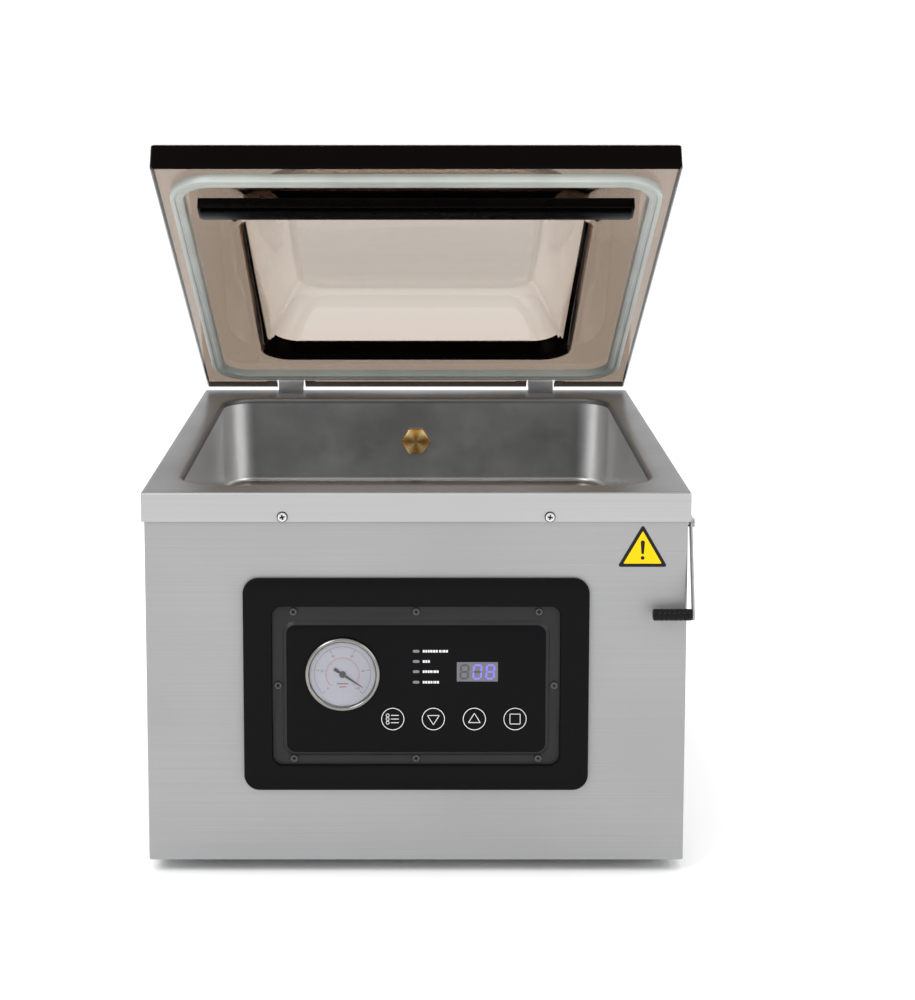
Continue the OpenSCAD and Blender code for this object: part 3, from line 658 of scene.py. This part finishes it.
def make_tub():
    """The pressed chamber: straight walls with a little draft, round corners, and a filleted flat floor."""
    mid_point, half = middle("chamber_tub")
    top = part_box("top_deck")[1].z - RIM_DEPTH
    floor_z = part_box("chamber_tub")[0].z + SHEET
    ow, ol = half.x - SHEET, half.y - SHEET
    mid = (0.0, mid_point.y)
    draft, fillet, steps, seg = 1.5 * MM, 5 * MM, 7, 12

    def skin(offset):
        corner = TUB_CORNER + offset
        rows = [ring(ow + offset, ol + offset, corner, top, mid, seg),
                ring(ow - draft + offset, ol - draft + offset, corner, floor_z + fillet, mid, seg)]
        for inward, down in quarter(steps)[1:]:
            pull = draft + fillet * inward - offset * (1 - inward)
            z = floor_z + fillet - (fillet + offset) * down
            rows.append(ring(ow - pull, ol - pull, corner - fillet * inward, z, mid, seg))
        for share in (0.7, 0.35):
            rows.append(ring(ow * share, ol * share, 20 * MM, floor_z - offset, mid, seg))
        return rows
    stand_in("chamber_tub", loft(list(reversed(skin(0.0))) + skin(SHEET)), TUB_STEEL, 40)


# -------------------- lid
# The lid's pieces are drawn closed, about the hinge axis, and then turned open.

hinge = next(j for j in frame["joints"] if j["name"] == "lid_hinge")
HINGE_Y, HINGE_Z = hinge["pos_m"][1], hinge["pos_m"][2]
OPEN = math.radians(hinge["range_deg"][1])
LID_OPEN = Matrix.Translation((0, HINGE_Y, HINGE_Z)) @ Matrix.Rotation(-OPEN, 4, "X")
LID_W, LID_L, LID_T = 483.6 * MM, 560 * MM, 24.9 * MM
UNDER, REAR = -8 * MM, 11.7 * MM          # the underside and the rear edge, from the hinge axis
FRONT = REAR - LID_L
MOUTH_Y, CEILING_Y = -266 * MM, -273 * MM  # the middles of the dome's mouth and ceiling
DOME_RISE = 65 * MM
LID_SEG = 16
# The lid's painted slots: painted shade on the edges and mouth band, and a painted taupe tone on the clear rear
# edge.
SHADE_BAND, PAINTED_REAR_BAND = 1, 2               # the lid's material slots after the clear acrylic


def lid_piece(node, bm, mat, angle=30, bevel=None, name=None):
    """A piece of the lid, bevelled by width and segments if those are given."""
    name = name or node + "_piece"
    obj = solid(name, bm)
    if bevel:
        rounded(obj, *bevel)
    obj.data.transform(LID_OPEN)
    dress(obj, "lid", mat, node, angle)


def soft_step(t):
    return t * t * (3 - 2 * t)


def dome_rings(grow, rise, mouth_z, count=26):
    """Rings from the dome's mouth to its ceiling: an S-curved wall that ends in a softly rounded ceiling."""
    mouth = Vector((175 * MM, 192 * MM))
    ceiling = Vector((122 * MM, 149 * MM))
    rows = []
    for k in range(count + 1):
        t = k / count
        half = mouth.lerp(ceiling, t)
        mid = (0.0, MOUTH_Y + (CEILING_Y - MOUTH_Y) * t)
        radius = (34 - 8 * t) * MM + grow
        z = mouth_z + rise * soft_step(t) ** 0.9
        rows.append(ring(half.x + grow, half.y + grow, radius, z, mid, LID_SEG))
    return rows


def in_mouth_shadow(point, normal):
    """Whether a face of the dome's skin is in its band of painted shade, tall at front and rear, thin at the
    sides.
    """
    rise, y = point.z - UNDER, point.y - MOUTH_Y
    start, high = 0.3 * MM, 16.4 * MM
    across = abs(normal.y) / max(1e-6, math.hypot(normal.x, normal.y))
    if y < -100 * MM:
        return across > 0.9 and start < rise < high and abs(point.x) < 118 * MM
    turn = soft_step(min(1.0, max(0.0, (across - 0.05) / 0.45)))
    swell = max(0.0, 1 - ((y - 70 * MM) / (140 * MM)) ** 2)
    side = (1.5 + (7.0 if point.x > 0 else 2.0) * swell) * MM
    low = 5 * MM * (1 - turn)
    return low + start < rise < low + side * (1 - turn) + high * turn and y > -70 * MM


def make_lid():
    """The thick acrylic plate with its dome, notched for the hinges, with dark painted shade at its edges and bent
    mouth, and a painted taupe rear edge.
    """
    mid = (0.0, (FRONT + REAR) / 2)
    hw, hl, edge = LID_W / 2, LID_L / 2, 1.6 * MM
    wall, ceiling_t = 6 * MM, 11 * MM
    top = UNDER + LID_T
    under = dome_rings(0.0, DOME_RISE, UNDER)
    over = dome_rings(wall, DOME_RISE + ceiling_t - LID_T, top)
    lip = ring(179 * MM, 196 * MM, 38 * MM, UNDER, (0.0, MOUTH_Y), LID_SEG)
    small, large = 1.5 * MM, 2 * MM
    sides = [(edge, small, UNDER), (0, large, UNDER + edge), (0, large, top - edge), (edge, small, top)]
    plate = [ring(hw - pull, hl - pull, radius, z, mid, LID_SEG) for pull, radius, z in sides]
    inside, outside = [[ring(90 * MM, 115 * MM, 20 * MM, rows[-1][0].z, (0.0, CEILING_Y), LID_SEG)]
                       for rows in (under, over)]
    rings = inside + list(reversed(under)) + [lip] + plate + over + outside
    obj = solid("lid_glass_piece", loft(rings))
    hinge_x, notch_half, notch_depth = 144 * MM, 16 * MM, 26 * MM
    cutter = bmesh.new()
    for x in (-hinge_x, hinge_x):
        add_box(cutter, (x - notch_half, REAR - notch_depth, UNDER - THROUGH),
                (x + notch_half, REAR + THROUGH, top + THROUGH))
    cut(obj, cutter)
    dress(obj, "lid", ACRYLIC, "lid_glass", 25)
    obj.data.materials.append(ACRYLIC_SHADE)
    obj.data.materials.append(ACRYLIC_REAR_PAINT)
    # Painted shade: the side and front edges and the band inside the mouth get the near-black slot, and the rear
    # edge the painted taupe one.
    near = 0.2 * MM
    for face in obj.data.polygons:
        c, steep = face.center, abs(face.normal.z) < 0.3
        if steep and c.y > REAR - near:
            face.material_index = PAINTED_REAR_BAND
        elif steep and (abs(c.x) > hw - near or c.y < FRONT + near):
            face.material_index = SHADE_BAND
        elif face.normal.z < -0.05 and in_mouth_shadow(c, face.normal):
            face.material_index = SHADE_BAND
    obj.data.transform(LID_OPEN)


def make_gasket():
    """The soft seal under the lid: two flat ridges with a groove between, swept round a rounded rectangle."""
    ridge = [(6.4, 8.0), (6.4, 1.2), (5.9, 0.3), (5.0, 0.0), (2.2, 0.0), (1.4, 0.9)]
    profile = [(-out, rise) for out, rise in ridge] + list(reversed(ridge))
    half_x, half_y, corner, foot = 222 * MM, 245.95 * MM, 34 * MM, UNDER - 8 * MM
    mid = (0.0, -284.25 * MM)
    rings = [ring(half_x + out * MM, half_y + out * MM, corner + out * MM, foot + rise * MM, mid, 12)
             for out, rise in profile]
    lid_piece("lid_gasket", loft(rings, closed=True), GASKET, 40)


def make_counter_bar():
    """The bar that the seal bar presses on, its rubber strip, and an end cap at each side."""
    y0, y1 = -487.8 * MM, -464.8 * MM
    z0, half, chamfer = UNDER - 10 * MM, 204 * MM, 0.6 * MM
    outline = [(y0, UNDER), (y0, z0 + chamfer), (y0 + chamfer, z0),
               (y1 - chamfer, z0), (y1, z0 + chamfer), (y1, UNDER)]
    bar = loft([[(x, y, z) for y, z in outline] for x in (-half, half)])
    lid_piece("counter_bar", bar, BAR_BLACK, 30, (0.4 * MM, 2))
    strip, short, inset = bmesh.new(), 3 * MM, 4 * MM
    add_box(strip, (-half + short, y0 + inset, z0 - inset), (half - short, y1 - inset, z0))
    lid_piece("counter_rubber", strip, BAR_BLACK, 30, (0.5 * MM, 2))
    cap_x, cap_half, recess, drop = half - 2.5 * MM, 2.4 * MM, 0.4 * MM, 1 * MM
    for x, side in ((-cap_x, "left"), (cap_x, "right")):
        cap = bmesh.new()
        add_box(cap, (x - cap_half, y0 + recess, z0 - drop), (x + cap_half, y1 - recess, UNDER))
        lid_piece(None, cap, BAR_BLACK, 30, (0.6 * MM, 2), "counter_bar_end_" + side)


# -------------------- latch

def make_grip():
    """The latch's rubber grip, turned with six shallow grooves."""
    mid, half = middle("latch_grip")
    r, length, grooves, shoulder, groove_half = half.y, 2 * half.x, 6, 1.6 * MM, 0.5 * MM
    pitch = (length - 5 * MM) / (grooves + 1)
    profile = [(0, 0), (r - 1.4 * MM, 0), (r - 0.4 * MM, 0.5 * MM), (r, shoulder)]
    for k in range(1, grooves + 1):
        h = shoulder + k * pitch
        profile += [(r, h - groove_half), (r - 0.35 * MM, h), (r, h + groove_half)]
    profile += [(r, length - 1.4 * MM), (r - 0.6 * MM, length - 0.2 * MM), (0, length)]
    place = Matrix.Translation((mid.x - half.x, mid.y, mid.z)) @ Matrix.Rotation(QUARTER, 4, "Y")
    stand_in("latch_grip", moved(lathe(profile, 32), place), GRIP_BLACK, 35)


# -------------------- control panel

PANEL_Z = middle("control_bezel")[0].z
PLATE_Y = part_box("keypad_plate")[0].y
PRINT = 0.12 * MM
KEYS = ["key_menu", "key_down", "key_up", "key_stop"]


def front_plate(node, mat, corner, bevel, window=None, seg=12):
    """A rounded plate facing the front. A window is given by its half sizes, middle, corner and edge."""
    mid, half = middle(node)
    back_y, depth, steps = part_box(node)[1].y, 2 * half.y, 3
    mid = (mid.x, mid.z)
    rows = [ring(half.x, half.z, corner, 0.0, mid, seg)]
    for inward, up in quarter(steps):
        pull = bevel * inward
        rows.append(ring(half.x - pull, half.z - pull, corner - pull, depth - bevel * (1 - up), mid, seg))
    if window:
        wx, wz, wmid, wcorner, wbevel = window
        for inward, up in reversed(quarter(steps)):
            grow = wbevel * inward
            rows.append(ring(wx + grow, wz + grow, wcorner + grow, depth - wbevel * (1 - up), wmid, seg))
        rows.append(ring(wx, wz, wcorner, 0.0, wmid, seg))
    return stand_in(node, facing_front(loft(rows, closed=bool(window)), (0, back_y, 0)), mat)


def print_piece(name, shapes, y, mat, body, thick=PRINT):
    """Thin printed shapes, each an outline in X and Z, standing a hair proud of the surface at y."""
    new_piece(name, prisms(shapes, y - thick, y + SMALL_GAP), body, mat)


def ring_print(name, mid, outer, inner, y, mat, body, seg=72):
    """A printed flat ring as one clean closed solid."""
    rows = [[(mid.x + px, level, mid.z + pz) for px, pz in circle(r, seg)] for r, level in
            ((outer, y + SMALL_GAP), (outer, y - PRINT), (inner, y - PRINT), (inner, y + SMALL_GAP))]
    new_piece(name, loft(rows, closed=True), body, mat)


def polar(x, z, radius, turn):
    """A point at a radius and an angle from a middle."""
    return (x + radius * math.cos(turn), z + radius * math.sin(turn))


def band(x, z, outer, inner, a0=0.0, a1=360.0, seg=64):
    """Short four-sided pieces of a flat ring between two angles."""
    n = max(2, int(seg * (a1 - a0) / 360))
    turns = [math.radians(a0 + (a1 - a0) * i / n) for i in range(n + 1)]
    return [[polar(x, z, r, t) for r, t in ((outer, t0), (outer, t1), (inner, t1), (inner, t0))]
            for t0, t1 in zip(turns, turns[1:])]


def stroke(a, b, width):
    """A straight line of some width, as an outline in X and Z."""
    a, b = Vector(a), Vector(b)
    d = b - a
    n = Vector((-d.y, d.x)).normalized() * width / 2
    return [tuple(a + n), tuple(a - n), tuple(b - n), tuple(b + n)]


def polygon_lines(points, width=0.55 * MM):
    return [stroke(p, q, width) for p, q in zip(points, points[1:] + points[:1])]


def icon(key, x, z):
    """A key's sign: triangles, a square, or a list with three bullets."""
    r, base, s = 5.3 * MM, 0.62 * 5.3 * MM, 4.6 * MM
    if key == "key_down":
        return polygon_lines([(x - r, z + base), (x + r, z + base), (x, z - r)])
    if key == "key_up":
        return polygon_lines([(x - r, z - base), (x, z + r), (x + r, z - base)])
    if key == "key_stop":
        return polygon_lines([(x - s, z - s), (x + s, z - s), (x + s, z + s), (x - s, z + s)])
    shapes = []
    for row in (-3.4 * MM, 0.0, 3.4 * MM):
        shapes.append(stroke((x - 1.6 * MM, z + row), (x + 5.4 * MM, z + row), 0.6 * MM))
        shapes += band(x - 4.6 * MM, z + row, 1.65 * MM, 1.15 * MM, seg=14)
    return shapes


def make_frame_rim():
    """The frame's raised inner edge, which slopes up to the plate of the keys."""
    mid, half = middle("keypad_plate")
    back_y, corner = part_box("keypad_plate")[1].y, 8 * MM
    profile = [(3.7, 0), (3.7, 0.25), (3.4, 0.5), (1.0, 1.75), (0.7, 1.9), (0.35, 1.9), (0.1, 1.6), (0.1, 0)]
    rows = [ring(half.x + out * MM, half.z + out * MM, corner + out * MM, rise * MM, (mid.x, mid.z), 12)
            for out, rise in profile]
    rim = facing_front(loft(rows, closed=True), (0, back_y, 0))
    new_piece("control_frame_rim", rim, "casing", FRAME_BLACK)


def islands(node):
    """The boxes of the separate solids in a node's mesh, as their low and high corners."""
    bm = node_bmesh(node)
    left, boxes = set(bm.verts), []
    while left:
        seed = min(left, key=lambda v: v.index)
        stack, found = [seed], {seed}
        while stack:
            for edge in stack.pop().link_edges:
                new = set(edge.verts) - found
                found |= new
                stack += new
        left -= found
        boxes.append([Vector([pick(v.co[i] for v in found) for i in range(3)]) for pick in (min, max)])
    bm.free()
    return boxes


def make_screw_marks():
    """Painted shade on the screws on the front: dark crosses for their cross recesses, and a painted shadow ring
    round each head.
    """
    surface = {"panel_screws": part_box("top_deck")[0].y, "frame_screws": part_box("keypad_plate")[1].y}
    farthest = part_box("control_bezel")[0].y + 12 * MM       # the casing's other screws are behind this
    widest, side_x, first_turn = 12 * MM, 200 * MM, 0.35
    marks, index = bmesh.new(), 0
    for node, base in surface.items():
        for lo, hi in islands(node):
            mid, r = (lo + hi) / 2, (hi.x - lo.x) / 2
            on_side = node == "panel_screws" and abs(mid.x) > side_x
            if lo.y > farthest or 2 * r > widest or on_side:
                continue
            # Painted shade: a flat dark cross stands in for each head's recess.
            for turn in (first_turn + index, first_turn + index + QUARTER):
                arm = Vector((math.cos(turn), math.sin(turn))) * 0.6 * r
                centre = Vector((mid.x, mid.z))
                slot = stroke(centre - arm, centre + arm, 0.3 * r)
                join(marks, prism(slot, lo.y - PRINT / 2, lo.y + SMALL_GAP))
            ring_print("screw_shadow_%d" % index, mid, 1.22 * r, 0.98 * r, base, BLACK_AND_PAINTED_SHADE, "casing", 32)
            index += 1
    new_piece("screw_recess_shade", marks, "casing", BLACK_AND_PAINTED_SHADE)


def make_control_panel():
    """The bezel, the frame and its rim, and the plate with its openings and four keys."""
    window = (129 * MM, 73.3 * MM, (0.0, PANEL_Z - 1.5 * MM), 8.5 * MM, 1.8 * MM)
    front_plate("control_bezel", GLOSS_BLACK, 14 * MM, 1.2 * MM, window)
    refined("control_frame", 0.3 * MM, FRAME_BLACK)
    make_frame_rim()
    plate = front_plate("keypad_plate", FILM_BLACK, 8 * MM, 0.6 * MM)
    key_hole, dial_hole, almost = 11.45 * MM, 31.2 * MM, 0.01 * MM
    openings = [(key, key_hole, key_hole, key_hole - almost) for key in KEYS]
    openings.append(("gauge_dial", dial_hole, dial_hole, dial_hole - almost))
    openings.append(("display_module", 18.6 * MM, 9.1 * MM, 0.5 * MM))
    outlines = []
    for node, half_x, half_z, corner in openings:
        mid = middle(node)[0]
        outlines.append([(mid.x + x, mid.z + z) for x, z in flat_ring(half_x, half_z, corner, 12)])
    lo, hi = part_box("keypad_plate")
    cut(plate, prisms(outlines, lo.y - THROUGH, hi.y + THROUGH))
    shade(plate, 30)
    for key in KEYS:
        refined(key, 0.25 * MM, KEY_BLACK)
        mid, face = middle(key)[0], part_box(key)[0].y
        ring_print(key + "_ring", mid, 10.3 * MM, 9.75 * MM, face, PRINT_WHITE, key)
        print_piece(key + "_icon", icon(key, mid.x, mid.z), face, PRINT_WHITE, key)


def make_lamps():
    """Four indicator lights, each with a row of dashes beside it: widths in mm, where 0 leaves a space."""
    captions = {30.8: [1.7, 1.5, 1.6, 1.8, 1.6, 1.9, 0, 1.5, 0.8, 2.0, 1.5],
                21.4: [1.7, 1.7, 1.5],
                12.0: [1.6, 1.4, 1.7, 1.4, 0.7, 1.7, 1.7],
                2.2: [1.6, 1.7, 1.7, 1.4, 0.7, 1.7, 1.7]}
    lo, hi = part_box("indicator_lights")
    first_x, gap, tall = 6.0 * MM, 0.65 * MM, 2.2 * MM
    lamps, dashes = [], []
    for above, widths in captions.items():
        z = PANEL_Z + above * MM
        lamps.append([(dx, z + dz) for dx, dz in flat_ring(3 * MM, 1.3 * MM, 1.29 * MM)])
        x = first_x
        for width in widths:
            if width:
                dashes.append(stroke((x, z), (x + width * MM, z), tall))
            x += width * MM + gap
    obj = solid("indicator_lights_piece", prisms(lamps, lo.y, hi.y))
    rounded(obj, 0.25 * MM, 2)
    dress(obj, "casing", LAMP_GREY, "indicator_lights")
    print_piece("lamp_captions", dashes, PLATE_Y, PRINT_WHITE, "casing")


def segment_shapes(x, z, w, h, t, slant):
    """The seven bars of a digit, a to g, as outlines in X and Z."""
    def bar(ax, az, bx, bz):
        d = Vector((bx - ax, bz - az)).normalized() * t / 2
        n = Vector((-d.y, d.x))
        a, b = Vector((ax, az)) + d * 0.3, Vector((bx, bz)) - d * 0.3
        pts = [a, a + d + n, b - d + n, b, b - d - n, a + d - n]
        return [(p.x + (p.y - z) * slant, p.y) for p in pts]
    l, r, top, low = x - w / 2, x + w / 2, z + h / 2, z - h / 2
    return {"a": bar(l, top, r, top), "b": bar(r, top, r, z), "c": bar(r, z, r, low),
            "d": bar(l, low, r, low), "e": bar(l, low, l, z), "f": bar(l, z, l, top), "g": bar(l, z, r, z)}


def make_display():
    """Three slanted digits: an unlit one, then 0 and 8."""
    lo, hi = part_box("display_module")
    mid = (lo + hi) / 2
    pitch, wide, tall, thick, slant = 11.6 * MM, 6.8 * MM, 12.4 * MM, 1.8 * MM, 0.07
    refined("display_module", 0.3 * MM, DISPLAY_GREY)
    dim, lit = [], []
    for i, on in enumerate(["", "abcdef", "abcdefg"]):
        for key, outline in segment_shapes(mid.x + (i - 1) * pitch, mid.z, wide, tall, thick, slant).items():
            (lit if key in on else dim).append(outline)
    print_piece("display_segments_dim", dim, lo.y, SEGMENT_OFF, "casing", 0.10 * MM)
    print_piece("display_segments_lit", lit, lo.y, SEGMENT_ON, "casing", 0.10 * MM)


# -------------------- gauge

SCALE_START, SCALE_SWEEP = math.radians(225), math.radians(270)


def make_gauge():
    """The polished ring, the dial with its print, the domed glass and the pointer."""
    bezel, bezel_half = middle("gauge_bezel")
    profile = [(0.3, 0), (0, 0.4), (0, 2.0), (0.5, 3.0), (1.2, 3.7), (2.0, 4.0), (2.8, 3.9), (3.4, 3.4),
               (3.9, 2.4), (3.95, 0.6), (3.95, 0)]
    rings = [[(x, y, h * MM) for x, y in circle(bezel_half.x - inward * MM, 96)] for inward, h in profile]
    bm = facing_front(loft(rings, closed=True), (bezel.x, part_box("gauge_bezel")[1].y, bezel.z))
    stand_in("gauge_bezel", bm, CHROME, 50)
    r = middle("gauge_dial")[1].x
    dial_front, dial_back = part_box("gauge_dial")[0].y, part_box("gauge_dial")[1].y
    dial = lathe([(0, 0), (r, 0), (r + 0.3 * MM, 0.2 * MM), (r, 0.8 * MM), (0, 0.8 * MM)], 72)
    stand_in("gauge_dial", facing_front(dial, (bezel.x, dial_back, bezel.z)), DIAL_WHITE)
    r = middle("gauge_glass")[1].x - SMALL_GAP
    glass = lathe([(0, 0.1 * MM), (r, 0.0), (r, 0.7 * MM), (r * 0.7, 0.86 * MM), (r * 0.35, 0.96 * MM),
                   (0, 1.0 * MM)], 72)
    stand_in("gauge_glass", facing_front(glass, (bezel.x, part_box("gauge_glass")[1].y, bezel.z)), LENS, 40)
    make_dial_print(bezel, dial_front)
    make_pointer(bezel)


def scale_marks(mid, count, outer, inner_of, width_of):
    """Radial marks over the scale's sweep. Inner radius and width, in mm, follow from a mark's number."""
    marks = []
    for i in range(count + 1):
        turn = SCALE_START - SCALE_SWEEP * i / count
        ends = [polar(mid.x, mid.z, radius * MM, turn) for radius in (inner_of(i), outer)]
        marks.append(stroke(*ends, width_of(i) * MM))
    return marks


def make_dial_print(mid, y):
    """Generic scale: ticks over 270 degrees, an inner scale in red, two short bars, and round numbers."""
    def bar(half, top, low):
        corners = [(-half, top), (half, top), (half, low), (-half, low)]
        return [(mid.x + x * MM, mid.z + z * MM) for x, z in corners]

    outer = scale_marks(mid, 50, 25.4, lambda i: 21.5 if i % 10 == 0 else 23.2 if i % 5 == 0 else 24.0,
                        lambda i: 0.45 if i % 10 == 0 else 0.22)
    inner = scale_marks(mid, 30, 15.0, lambda i: 12.8 if i % 5 == 0 else 13.7, lambda i: 0.3)
    outer += band(mid.x, mid.z, 25.6 * MM, 25.3 * MM, -45, 225, 90) + [bar(5, -8.2, -9.4)]
    inner += band(mid.x, mid.z, 15.2 * MM, 14.9 * MM, -45, 225, 60) + [bar(3, -11.2, -12.2)]
    print_piece("gauge_scale_outer", outer, y, DIAL_GREY, "casing", 0.04 * MM)
    print_piece("gauge_scale_inner", inner, y, DIAL_RED, "casing", 0.04 * MM)
    numbers, value_step, radius, size, proud = 6, 20, 18.6 * MM, 3.0 * MM, 0.03 * MM
    for k in range(numbers):
        x, z = polar(mid.x, mid.z, radius, SCALE_START - SCALE_SWEEP * k / (numbers - 1))
        number(value_step * k, (x, y - proud, z), size, "gauge_number_%d" % k)


def number(value, place, size, name):
    """A number on the dial, as a thin solid."""
    curve = bpy.data.curves.new("digits", "FONT")
    curve.body = str(value)
    curve.size = size
    curve.align_x = "CENTER"
    curve.align_y = "CENTER"
    curve.extrude = 0.02 * MM
    curve.resolution_u = 3
    obj = linked("digits", curve)
    bpy.context.view_layer.update()
    mesh = bpy.data.meshes.new_from_object(obj.evaluated_get(bpy.context.evaluated_depsgraph_get()))
    bpy.data.objects.remove(obj)
    mesh.transform(Matrix.Translation(place) @ TO_FRONT)
    dress(linked(name, mesh), "casing", DIAL_GREY)


def make_pointer(mid):
    """A tapered needle with a broad tail, and its hub."""
    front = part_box("gauge_pointer")[0].y
    needle_y, needle_t, hub_t, turn = front + 0.8 * MM, 0.5 * MM, 1.3 * MM, math.radians(-34)
    upper = [(-9, 1.5), (-5, 1.5), (-3, 0.9), (0, 1.25), (21.8, 0.22)]
    shape = upper + [(x, -z) for x, z in reversed(upper)]
    c, s = math.cos(turn) * MM, math.sin(turn) * MM
    outline = [(mid.x + x * c - z * s, mid.z + x * s + z * c) for x, z in shape]
    bm = prism(outline, needle_y, needle_y + needle_t)
    hub = lathe([(0, 0), (3.0 * MM, 0), (3.0 * MM, 0.9 * MM), (2.5 * MM, 1.25 * MM), (0, hub_t)], 32)
    join(bm, facing_front(hub, (mid.x, front + hub_t, mid.z)))
    stand_in("gauge_pointer", bm, BLACK_AND_PAINTED_SHADE)


# -------------------- hazard label

def rounded_triangle(x, z, half, height, radius, seg=6):
    """An upright triangle with rounded corners, centred on x, its base at z."""
    corners = [Vector((x - half, z)), Vector((x + half, z)), Vector((x, z + height))]
    out = []
    for i, p in enumerate(corners):
        a = (corners[i - 1] - p).normalized()
        b = (corners[(i + 1) % 3] - p).normalized()
        half_angle = a.angle(b) / 2
        centre = p + (a + b).normalized() * radius / math.sin(half_angle)
        start = p + a * radius / math.tan(half_angle) - centre
        end = p + b * radius / math.tan(half_angle) - centre
        a0, a1 = math.atan2(start.y, start.x), math.atan2(end.y, end.x)
        while a1 < a0:
            a1 += 2 * math.pi
        out += [polar(centre.x, centre.y, radius, a0 + (a1 - a0) * k / seg) for k in range(seg + 1)]
    return out


def make_label():
    """A yellow triangle on a black one, with an upright bar and a dot in black."""
    lo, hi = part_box("hazard_label")
    x, z, half, height = (lo.x + hi.x) / 2, lo.z, (hi.x - lo.x) / 2, hi.z - lo.z
    print_y, field_y, base_y = lo.y + 0.02 * MM, lo.y + 0.09 * MM, lo.y + 0.16 * MM
    stand_in("hazard_label", prism(rounded_triangle(x, z, half, height, 1.6 * MM), base_y, hi.y), BLACK_AND_PAINTED_SHADE)
    field = rounded_triangle(x, z + 3.0 * MM, half - 5.2 * MM, height - 9.0 * MM, 0.5 * MM)
    new_piece("hazard_label_field", prism(field, field_y, base_y + 0.01 * MM), "casing", YELLOW)
    bar = [(-1.9, 22.5), (-1.1, 11.8), (1.1, 11.8), (1.9, 22.5), (1.2, 24.0), (-1.2, 24.0)]
    mark = [(x + dx * MM, z + dz * MM) for dx, dz in bar]
    dot = [(x + dx, z + 8.2 * MM + dz) for dx, dz in circle(1.7 * MM, 18)]
    new_piece("hazard_label_print", prisms([mark, dot], print_y, field_y), "casing", BLACK_AND_PAINTED_SHADE)


# -------------------- the CAD's own solids

PRESSED = {"rear_panel": 15, "base_pan": 15}     # shaded sharp at smaller angles than the other pieces

REFINED = [
    ("rear_panel", 0.3, PANEL_STEEL), ("base_pan", 0.3, PAN_STEEL), ("rubber_feet", 1.2, RUBBER),
    ("panel_screws", 0.35, BRIGHT_STEEL), ("frame_screws", 0.25, SCREW_BLACK), ("port_nut", 0.5, BRASS),
    ("hinge_blocks", 0.9, BRIGHT_STEEL), ("hinge_pins", 0.4, BRIGHT_STEEL), ("latch_pivot", 0.4, LATCH_STEEL),
    ("latch_arm", 0.4, LATCH_STEEL), ("seal_bar", 0.8, ALUMINIUM), ("seal_wire", 0.25, TAPE),
    ("lift_rods", 0.3, BRIGHT_STEEL), ("lift_cylinders", 0.5, ALUMINIUM), ("power_inlet", 0.5, SWITCH_BLACK),
    ("switch_housing", 0.5, SWITCH_BLACK), ("power_rocker", 0.6, ROCKER_RED),
]

PLAIN = [
    (SWITCH_BLACK, ["tact_switches", "solenoid_coils", "exhaust_filter", "fan_cover", "lid_sensor"]),
    (BOARD_GREEN, ["control_board", "power_board"]), (RUBBER, ["suction_hoses", "pump_mounts"]),
    (ALUMINIUM, ["valve_block", "oil_case"]), (IRON, ["pump_body", "motor_rotor"]),
    (BRIGHT_STEEL, ["motor_shaft", "hinge_springs"]), (SCREW_BLACK, ["gauge_case"]), (BRASS, ["port_elbow"]),
    (SIGHT, ["oil_sight_glass"]), (MOTOR_PAINT, ["motor_housing"]), (FAN_WHITE, ["motor_fan"]),
    (VARNISH, ["seal_transformer"]),
]


def finish_nodes():
    for node, width, mat in REFINED:
        refined(node, width * MM, mat, 2, PRESSED.get(node, 40))
    for mat, kept in PLAIN:
        for node in kept:
            nodes[node].data.materials.clear()
            nodes[node].data.materials.append(mat)


make_wrap()
make_deck()
make_tub()
make_lid()
make_gasket()
make_counter_bar()
make_grip()
make_control_panel()
make_screw_marks()
make_lamps()
make_display()
make_gauge()
make_label()
finish_nodes()
